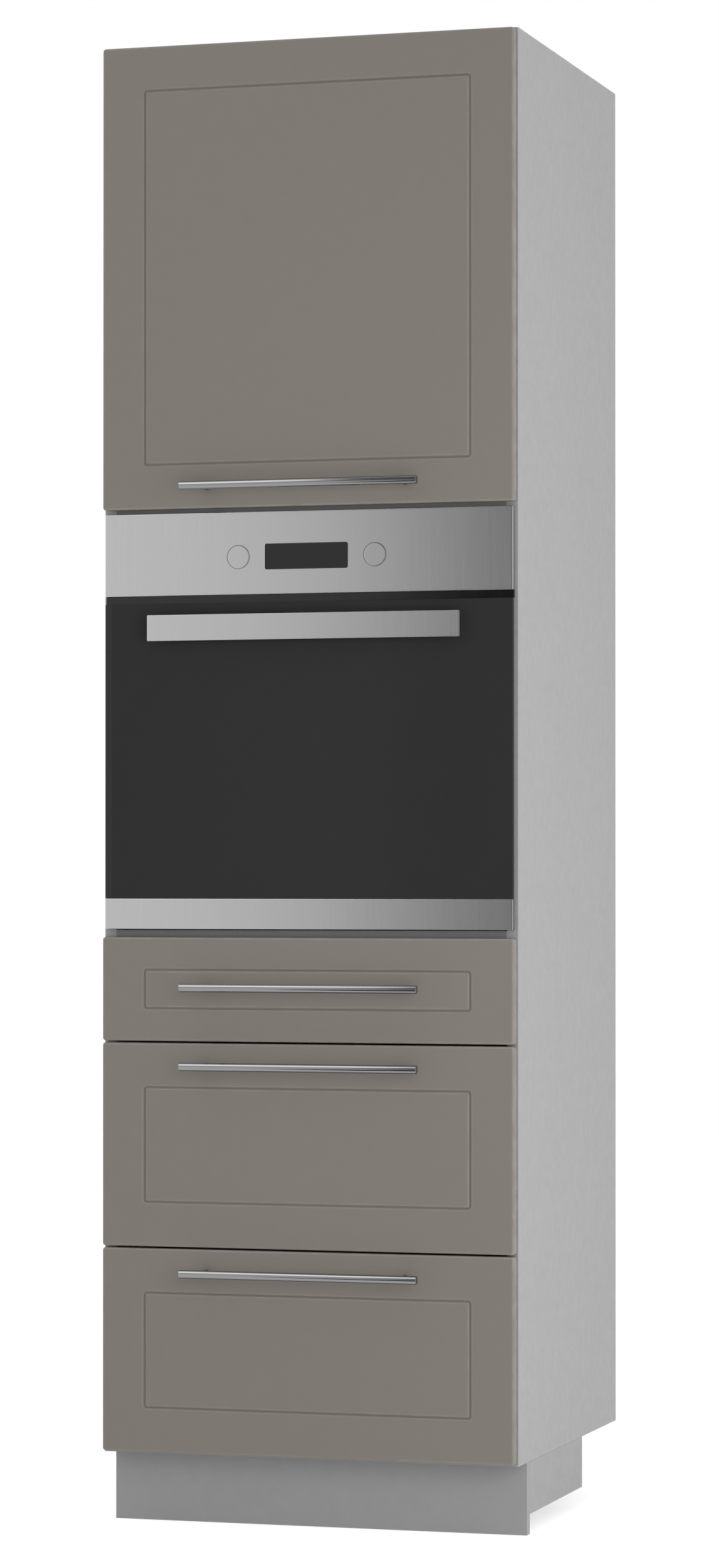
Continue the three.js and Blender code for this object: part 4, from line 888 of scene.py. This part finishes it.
for side, s in zip(("left", "right"), knobSpots):
    low, high = boxOf(f"oven_knob_{side}")
    radius, edge, length = knob["radius"], knob["round"], high.y - low.y
    bm = bmesh.new()
    revolve(bm, [(0, 0), (radius - edge - 0.8, 0), (radius - edge, 0), (radius - edge * 0.5, edge * 0.14),
                 (radius - edge * 0.13, edge * 0.5), (radius, edge), (radius, length - 0.5),
                 (radius - 0.5, length), (knob["bore"], length), (knob["bore"], length - knob["boreDepth"]),
                 (0, length - knob["boreDepth"])], 96, spotAt(s.x, low.y, s.z, (0, 1, 0)))
    finishPiece(f"knob_{side}", bm, "ovenSteel", f"knob_{side}", (f"oven_knob_{side}",), 25)
    low, high = boxOf(f"oven_spindle_{side}")
    length = high.y - low.y
    bm = bmesh.new()
    revolve(bm, [(0, 0), (2.3, 0), (2.95, 0.8), (2.95, length - 4), (7.4, length - 4), (8, length - 3.5),
                 (8, length - 0.4), (7.6, length), (0, length)], 40, spotAt(s.x, low.y, s.z, (0, 1, 0)))
    finishPiece(f"spindle_{side}", bm, "zincPlate", f"spindle_{side}",
                (f"oven_spindle_{side}",), 30)

# the oven's door: glass, trim, frame, inner pane and handle
door = dict(corner=1.2, glassEdge=0.7, trimEdge=0.9, frameEdge=0.5, paneCorner=6.0, paneEdge=0.5)
for name, node, material, slot, edge in (
        ("doorGlass", "oven_door_glass", "doorGlass", "dark_glass", door["glassEdge"]),
        ("doorTrim", "oven_door_trim", "ovenSteel", "oven_steel", door["trimEdge"])):
    low, high = boxOf(node)
    bm = bmesh.new()
    plate(bm, low.x, low.z, high.x, high.z, low.y, high.y, door["corner"], edge)
    finishPiece(name, bm, material, "oven_door", (node,), 40)

dressed("oven_door_frame", "frameBlack", "oven_door", door["frameEdge"])

low, high = boxOf("oven_door_inner_glass")
edge, corner = door["paneEdge"], door["paneCorner"]
bm = bmesh.new()
skin(bm, [cornered(low.x + i, low.z + i, high.x - i, high.z - i, corner - i, y, 6)
          for i, y in ((edge, low.y), (0, low.y + edge), (0, high.y - edge), (edge, high.y))])
finishPiece("doorInnerPane", bm, "innerGlass", "oven_door", ("oven_door_inner_glass",), 40)

# the handle is a flat bar on two feet, each with a wider flange against the glass
grip = dict(thick=4.0, corner=1.2, edge=0.5, footAcross=200.0, foot=(7.0, 8.0, 4.0), flange=(8.5, 6.5, 5.0),
            flangeThick=1.5)
low, high = boxOf("oven_door_handle")
bm = bmesh.new()
plate(bm, low.x, low.z, high.x, high.z, low.y, low.y + grip["thick"], grip["corner"], grip["edge"], 4)
for x in (-grip["footAcross"], grip["footAcross"]):
    for (half, inset, corner), start in ((grip["foot"], low.y + grip["thick"]),
                                         (grip["flange"], high.y - grip["flangeThick"])):
        skin(bm, [cornered(x - half, low.z + inset, x + half, high.z - inset, corner, y, 5)
                  for y in (start, start + 0.4, high.y - 0.01, high.y)])
bmesh.ops.remove_doubles(bm, verts=bm.verts, dist=0.001)
finishPiece("ovenHandle", bm, "ovenSteel", "oven_door", ("oven_door_handle",), 40)

# the oven's body: enamel in the cavity and on the face round it, rubber on the gasket, plated sheet outside,
# and the dark strips above and below the door; the strip below takes the shelves' darker grey, painted shade
casing = dict(stripFront=-250.0, ventFrom=1286.0, bandTo=836.0, cavityHalf=226.5, cavityLow=878.5,
              cavityHigh=1231.5, cavityFront=-223.5, cavityBack=191.5, gasketHalf=239.0, gasketLow=866.0,
              gasketHigh=1244.0, gasketFront=-223.0, gasketBack=-218.9, faceBack=-218.0, faceHalf=281.0,
              edge=0.3)


def paintOven(centre, normal):
    x, y, z = abs(centre.x), centre.y, centre.z
    if y < casing["stripFront"] and z > casing["ventFrom"]:
        return 3
    if y < casing["stripFront"] and z < casing["bandTo"]:
        return 4
    if (x < casing["cavityHalf"] and casing["cavityLow"] < z < casing["cavityHigh"]
            and casing["cavityFront"] < y < casing["cavityBack"]):
        return 0
    if (x < casing["gasketHalf"] and casing["gasketLow"] < z < casing["gasketHigh"]
            and casing["gasketFront"] < y < casing["gasketBack"]):
        return 2
    return 0 if y < casing["faceBack"] and x < casing["faceHalf"] else 1


dressed("oven_body", ["ovenEnamel", "zincPlate", "rubberGrey", "ventBlack", "shelfBandPaintedShade"], "carcass",
        casing["edge"], 1, paint=paintOven)

# in the cavity: the wire shelf and the grill's element
shelfWires = {"Frame Radius": 0.0026, "Wire Radius": 0.0015, "Corner": 0.014, "Inset": 0.018, "Count": 21}
low, high = boxOf("oven_wire_shelf")
frameWire = 2 * shelfWires["Frame Radius"]
layOut("wireShelf", "wires", [((0, (low.y + high.y) / 2, (low.z + high.z) / 2), (0, 0, 1))],
       {"Width": (high.x - low.x) * mm - frameWire, "Depth": (high.y - low.y) * mm - frameWire, **shelfWires},
       "wireChrome", "carcass", ("oven_wire_shelf",))
dressed("oven_grill_element", "elementSteel", "carcass", 0, angle=60)

# louvres across the vent in the rear sheet, and the screws that hold the sheet
rear = dict(louvreAt=(0, 289.0, 1307.5), screwY=295.0, screwX=262.0, screwZ=(848.0, 1114.0, 1380.0))
louvres = {"Length": 0.2585, "Width": 0.0105, "Thickness": 0.0009, "Pitch": (0, 0, 0.0082), "Count": 4,
           "Tilt": 0.7}
layOut("rearLouvres", "louvres", [(rear["louvreAt"], (0, 0, 1))], louvres, "zincPlate", "carcass")
sheetSpots = [(x, z) for x in (-rear["screwX"], 0, rear["screwX"]) for z in rear["screwZ"]]
screws("rearScrews", "sheet", [((x, rear["screwY"], z), (0, 1, 0)) for x, z in sheetSpots
                               if x or z != rear["screwZ"][1]], "carcass")

# the fan's cover on the cavity's back, held by four screws
fan = dict(y=183.6, z=1055.0, screwRing=72.0, screwY=182.3)
fanCover = {"Radius": 0.086, "Thickness": 0.0014, "Hole Radius": 0.0038, "Ring Pitch": 0.0145}
layOut("fanCover", "fan", [((0, fan["y"], fan["z"]), (0, -1, 0))], fanCover, "ovenEnamel", "carcass")
diagonals = [math.radians(45 + 90 * k) for k in range(4)]
screws("fanScrews", "fan", [((fan["screwRing"] * math.cos(a), fan["screwY"],
                              fan["z"] + fan["screwRing"] * math.sin(a)), (0, -1, 0)) for a in diagonals],
       "carcass")

# the lamp's pressed glass in its ring
lamp = dict(x=150.0, z=1160.0, glassY=189.8, ringY=189.9)
bm = bmesh.new()
revolve(bm, [(0, 12), (12, 11.2), (20, 9), (25, 5), (26.5, 1.5), (26.5, 0), (0, 0)], 48,
        spotAt(lamp["x"], lamp["glassY"], lamp["z"], (0, -1, 0)))
finishPiece("lampGlass", bm, "lampGlass", "carcass", angle=50)
bm = bmesh.new()
revolve(bm, [(26.6, 0), (31, 0), (31, 2.2), (30, 3.4), (27.8, 3.4), (26.6, 2.2), (26.6, 0)], 48,
        spotAt(lamp["x"], lamp["ringY"], lamp["z"], (0, -1, 0)))
bmesh.ops.remove_doubles(bm, verts=bm.verts, dist=0.001)
finishPiece("lampRing", bm, "wireChrome", "carcass", angle=40)
print("oven made")


# the flap's hinges and lift, with wings on each cup laid on the flap's back
hinges = dict(edge=0.3, armEdge=0.25, cupRadius=17.6, wingWidth=46.0, wingHeight=13.0, wingThick=1.0,
              wingCorner=5.0, wingRound=0.25, wingTaper=(0.985, 0.97), cupScrew=20.2, cupScrewOut=0.9,
              armScrew=17.0, armScrewDown=2.1)
lift = dict(boxEdge=0.6, edge=0.35, screwX=-264.1, screwIn=14.0, bracketScrewY=-247.9, bracketScrewIn=6.0,
            bracketScrewUp=15.0)


def cupWings(side):
    low, high = boxOf(f"hinge_cup_{side}")
    x, z, base = (low.x + high.x) / 2, (low.z + high.z) / 2, high.y
    top = base + hinges["wingThick"]
    width, height = hinges["wingWidth"] / 2, hinges["wingHeight"] / 2

    def outer(y, across=1.0, along=1.0):
        return [(x + (px - x) * across, y, z + (pz - z) * along)
                for px, _, pz in cornered(x - width, z - height, x + width, z + height,
                                          hinges["wingCorner"], 0, 6)]

    def inner(y):
        radius, turns = hinges["cupRadius"], [math.radians(90 * (k // 7) + 15 * (k % 7)) for k in range(28)]
        return [(x + radius * math.cos(a), y, z + radius * math.sin(a)) for a in turns]

    bm = bmesh.new()
    skin(bm, [outer(base), outer(top - hinges["wingRound"]), outer(top, *hinges["wingTaper"]), inner(top),
              inner(base), outer(base)], closed=False)
    bmesh.ops.remove_doubles(bm, verts=bm.verts, dist=0.0001)
    finishPiece(f"cupWings_{side}", bm, "zincPlate", "flap", angle=40)


armScrews, cupScrews = [], []
for side in ("left", "right"):
    dressed(f"hinge_cup_{side}", "zincPlate", "flap", hinges["edge"])
    dressed(f"hinge_link_{side}", "zincPlate", f"hinge_link_{side}_body", hinges["edge"])
    dressed(f"hinge_arm_{side}", "zincPlate", "carcass", hinges["armEdge"])
    cupWings(side)
    arm, cup = middleOf(f"hinge_arm_{side}"), middleOf(f"hinge_cup_{side}")
    armFace = boxOf(f"hinge_arm_{side}")[1].z - hinges["armScrewDown"]
    cupFace = boxOf(f"hinge_cup_{side}")[1].y + hinges["cupScrewOut"]
    armScrews += [((arm.x + s * hinges["armScrew"], arm.y, armFace), (0, 0, -1)) for s in (-1, 1)]
    cupScrews += [((cup.x + s * hinges["cupScrew"], cupFace, cup.z), (0, 1, 0)) for s in (-1, 1)]
screws("armScrews", "arm", armScrews, "carcass")
screws("cupScrews", "cup", cupScrews, "flap")

dressed("lift_box", "zincPlate", "carcass", lift["boxEdge"], 3)
for node, body in (("lift_lever", "lift_lever_body"), ("lift_link", "lift_link_body"),
                   ("lift_bracket", "flap")):
    dressed(node, "zincPlate", body, lift["edge"])
low, high = boxOf("lift_bracket")
x, z = high.x - lift["bracketScrewIn"], (low.z + high.z) / 2
screws("bracketScrews", "bracket", [((x, lift["bracketScrewY"], z + s * lift["bracketScrewUp"]), (0, 1, 0))
                                    for s in (-1, 1)], "flap")
low, high = boxOf("lift_box")
y0, z0 = low.y + lift["screwIn"], low.z + lift["screwIn"]
y1, z1 = high.y - lift["screwIn"], high.z - lift["screwIn"]
screws("liftBoxScrews", "liftBox", [((lift["screwX"], y, z), (1, 0, 0))
                                    for y, z in ((y0, z1), (y1, z0), (y1, z1))], "carcass")
print("hinges and lift made")


# inside the carcass: sleeves in the shelf holes, caps over the cam fittings, nails in the backs
fittings = dict(sideFace=284.0, holeRows=(-193.0, 233.0), holePitch=32.0, pegDown=1.7,
                capRows=(-214.0, 30.0, 274.0), capUp=34.0, nailIn=(4.0, 7.0), nailGrid=(5, 6))
sleeve = {"Radius": 0.0036, "Bore": 0.0023, "Height": 0.0005}
cap = {"Radius": 0.0055, "Height": 0.0008, "Rim": 0.0003}
nail = {"Radius": 0.0022, "Height": 0.0006, "Rim": 0.0002}

pegZ = boxOf("cupboard_shelf")[0].z - fittings["pegDown"]
sleeves = [((side * fittings["sideFace"], y, pegZ + fittings["holePitch"] * step), (-side, 0, 0))
           for side in (-1, 1) for y in fittings["holeRows"] for step in (-2, -1, 1, 2)]
layOut("shelfSleeves", "sleeves", sleeves, sleeve, "capGrey", "carcass")

capHeights = (boxOf("top_panel")[0].z - fittings["capUp"], boxOf("oven_shelf_upper")[1].z + fittings["capUp"])
caps = [((side * fittings["sideFace"], y, z), (-side, 0, 0))
        for side in (-1, 1) for y in fittings["capRows"] for z in capHeights]
layOut("camCaps", "discs", caps, cap, "capGrey", "carcass")

nails = []
across, up = fittings["nailGrid"]
for node in ("back_panel_upper", "back_panel_lower"):
    low, high = boxOf(node)
    x0, x1 = low.x + fittings["nailIn"][0], high.x - fittings["nailIn"][0]
    z0, z1 = low.z + fittings["nailIn"][1], high.z - fittings["nailIn"][1]
    for column in range(across + 1):
        for row in range(up + 1):
            if column in (0, across) or row in (0, up):
                spot = (x0 + (x1 - x0) * column / across, high.y, z0 + (z1 - z0) * row / up)
                nails.append((spot, (0, 1, 0)))
layOut("backNails", "discs", nails, nail, "zincPlate", "carcass")
print("fittings inside the carcass made")


# the plinth's legs: foot, thread, stem and top plate, with ribs and screws
legs = dict(thread=9.0, threadDepth=0.7, threadTurns=13, screwRing=24.0, screwZ=95.0, ribsZ=56.0)
legRibs = {"Stem Radius": 0.015, "Rib Depth": 0.005, "Rib Width": 0.002, "Rib Height": 0.046, "Count": 10}
legNodes = [f"leg_{row}_{side}" for row in ("front", "rear") for side in ("left", "right")]
legSpots = [middleOf(node) for node in legNodes]
foot = [(0, 0), (23, 0), (24, 1), (24, 7.5), (22.5, 9), (15, 10.5), (9.6, 14), (legs["thread"], 16)]
thread = [(legs["thread"] - (legs["threadDepth"] if k % 2 else 0), 16 + k)
          for k in range(1, legs["threadTurns"] + 1)]
stem = [(legs["thread"], 30), (14.6, 30), (15, 30.6), (15, 78), (22.5, 95), (29, 95), (30, 95.8), (30, 99.2),
        (29.4, 100), (0, 100)]
bm = bmesh.new()
for s in legSpots:
    revolve(bm, foot + thread + stem, 40, Matrix.Translation((s.x, s.y, 0)))
finishPiece("legs", bm, "legBlack", "carcass", legNodes, 35)
layOut("legRibs", "ribs", [((s.x, s.y, legs["ribsZ"]), (0, 0, 1)) for s in legSpots], legRibs, "legBlack",
       "carcass")
screws("legScrews", "leg", [((s.x + legs["screwRing"] * math.cos(a), s.y + legs["screwRing"] * math.sin(a),
                              legs["screwZ"]), (0, 0, -1)) for s in legSpots for a in diagonals], "carcass")
print("plinth legs made")


# the drawers: coated steel boxes with board bottoms, their rails, and a bracket a side for the front
drawers = dict(edge=0.25, boardEdge=0.35, railEdge=0.2, screwX=282.7, screwUp=12.0,
               screwY=(-180.0, -20.0, 150.0, 230.0))
brackets = dict(plateX=(245.0, 259.0), legX=(257.6, 259.4), legY=(-250.9, -226.0), thick=2.0, up=20.0,
                tallest=90.0, clear=30.0, screwX=251.5, screwIn=8.0, edge=0.4)
runnerScrews = []
for number in (1, 2, 3):
    body = f"drawer_{number}"
    dressed(f"{body}_box", "drawerWhite", body, drawers["edge"], 1)
    dressed(f"{body}_bottom", "drawerBoardGrey", body, drawers["boardEdge"])
    for side in ("left", "right"):
        dressed(f"{body}_rail_{side}", "zincPlate", "carcass", drawers["railEdge"], 1)
    z = boxOf(f"{body}_rail_right")[0].z + drawers["screwUp"]
    runnerScrews += [((side * drawers["screwX"], y, z), (-side, 0, 0))
                     for side in (-1, 1) for y in drawers["screwY"]]

    low, high = boxOf(f"{body}_box")
    tall = min(high.z - low.z - brackets["clear"], brackets["tallest"])
    z0, z1 = low.z + brackets["up"], low.z + brackets["up"] + tall
    plateBack = frontsBack + brackets["thick"]
    frontScrews = []
    bm = bmesh.new()
    for side in (-1, 1):
        x0, x1 = sorted(side * x for x in brackets["plateX"])
        slab(bm, x0, x1, frontsBack, plateBack, z0, z1, brackets["edge"])
        x0, x1 = sorted(side * x for x in brackets["legX"])
        slab(bm, x0, x1, *brackets["legY"], z0, z1, brackets["edge"])
        frontScrews += [((side * brackets["screwX"], plateBack, z), (0, 1, 0))
                        for z in (z0 + brackets["screwIn"], z1 - brackets["screwIn"])]
    finishPiece(f"frontBrackets_{body}", bm, "drawerWhite", body)
    screws(f"frontScrews_{body}", "front", frontScrews, body)
screws("runnerScrews", "runner", runnerScrews, "carcass")
print("drawers made")


# The studio: a pale floor, an even sky, three softboxes and the cards that the metals reflect. The camera,
# mirrors and glass see floor and sky as white, whatever light these give.
studio = dict(skyLevel=0.5, floorTone=tone(250), floorLift=0.6, floorHalf=9.0)


def seenDirectly(tree):
    rays = add(tree, "ShaderNodeLightPath").outputs
    seen = calc(tree, "MAXIMUM", rays["Is Camera Ray"], rays["Is Glossy Ray"])
    return calc(tree, "MAXIMUM", seen, rays["Is Transmission Ray"])


def makeFloorPaint():
    material = bpy.data.materials.new("studioFloor")
    material.use_nodes = True
    tree = material.node_tree
    shader = tree.nodes["Principled BSDF"].inputs
    shader["Base Color"].default_value = studio["floorTone"]
    shader["Roughness"].default_value = 0.9
    shader["Specular IOR Level"].default_value = 0.0
    shader["Emission Color"].default_value = (1, 1, 1, 1)
    tree.links.new(multiply(tree, seenDirectly(tree), studio["floorLift"]), shader["Emission Strength"])
    return material


half = studio["floorHalf"]
floorMesh = bpy.data.meshes.new("floor")
floorMesh.from_pydata([(-half, -half, 0), (half, -half, 0), (half, half, 0), (-half, half, 0)], [],
                      [(0, 1, 2, 3)])
floorMesh.materials.append(makeFloorPaint())
linked("floor", floorMesh)

world = bpy.data.worlds.new("studioWorld")
scene.world = world
world.use_nodes = True
sky = world.node_tree
sky.nodes.clear()
lit = add(sky, "ShaderNodeBackground", {"Color": (1, 1, 1, 1), "Strength": studio["skyLevel"]})
white = add(sky, "ShaderNodeBackground", {"Color": (1, 1, 1, 1), "Strength": 1.0})
both = add(sky, "ShaderNodeMixShader", {0: seenDirectly(sky), 1: lit.outputs[0], 2: white.outputs[0]})
add(sky, "ShaderNodeOutputWorld", {"Surface": both.outputs[0]})

lamps = {
    "frontSoftbox": dict(place=(1.8, -2.7, 0.65), aim=(0, -0.2, 0.65), size=(2.8, 2.6), power=58),
    "sideSoftbox": dict(place=(3.6, -0.4, 0.8), aim=(0.3, 0, 0.8), size=(2.4, 2.4), power=15),
    "topSoftbox": dict(place=(-0.4, -2.6, 4.6), aim=(0, -0.2, 0.9), size=(0.9, 0.9), power=4),
}
for name, look in lamps.items():
    light = bpy.data.lights.new(name, "AREA")
    light.shape = "RECTANGLE"
    light.size, light.size_y = look["size"]
    light.energy = look["power"]
    holder = linked(name, light)
    holder.location = look["place"]
    holder.rotation_euler = (Vector(look["aim"]) - Vector(look["place"])).to_track_quat("-Z", "Y").to_euler()
    holder.visible_camera = holder.visible_glossy = False

# Cards that only metal and glass see: dim ones in front and to the right shade the right half of the steel
# and the ends of the bars, and a bright one overhead draws the line along the tops of the bars.
cards = {
    "frontCard": dict(level=0.115, corners=(
        (-0.84, -3.6, 0), (2.5, -3.6, 0), (2.5, -3.6, 3.6), (-1.16, -3.6, 3.6), (-1.05, -3.6, 2.6),
        (-1.0, -3.6, 1.9), (-0.8, -3.6, 1.8), (-0.8, -3.6, 1.4), (-0.86, -3.6, 1.25))),
    "floorCard": dict(level=0.1, corners=(
        (-0.2, -1.0, 0.01), (2.5, -1.0, 0.01), (2.5, -3.6, 0.01), (-1.05, -3.6, 0.01), (-0.66, -2.2, 0.01),
        (-0.46, -1.4, 0.01))),
    "highCard": dict(level=0.12, corners=(
        (-0.66, -0.8, 3.6), (2.5, -0.8, 3.6), (2.5, -3.6, 3.6), (-1.2, -3.6, 3.6), (-0.85, -2.35, 3.6))),
    "overheadCard": dict(level=2.6, corners=(
        (-3.6, -0.8, 3.6), (-0.66, -0.8, 3.6), (-0.85, -2.35, 3.6), (-1.2, -3.6, 3.6), (-3.6, -3.6, 3.6))),
}
for name, look in cards.items():
    mesh = bpy.data.meshes.new(name)
    mesh.from_pydata(look["corners"], [], [range(len(look["corners"]))])
    paint = bpy.data.materials.new(name)
    paint.use_nodes = True
    paint.node_tree.nodes.clear()
    glow = add(paint.node_tree, "ShaderNodeEmission", {"Strength": look["level"]})
    add(paint.node_tree, "ShaderNodeOutputMaterial", {"Surface": glow.outputs[0]})
    mesh.materials.append(paint)
    card = linked(name, mesh)
    card.visible_camera = card.visible_diffuse = card.visible_shadow = card.visible_transmission = False
print("studio set:", len(lamps), "lamps and", len(cards), "cards")
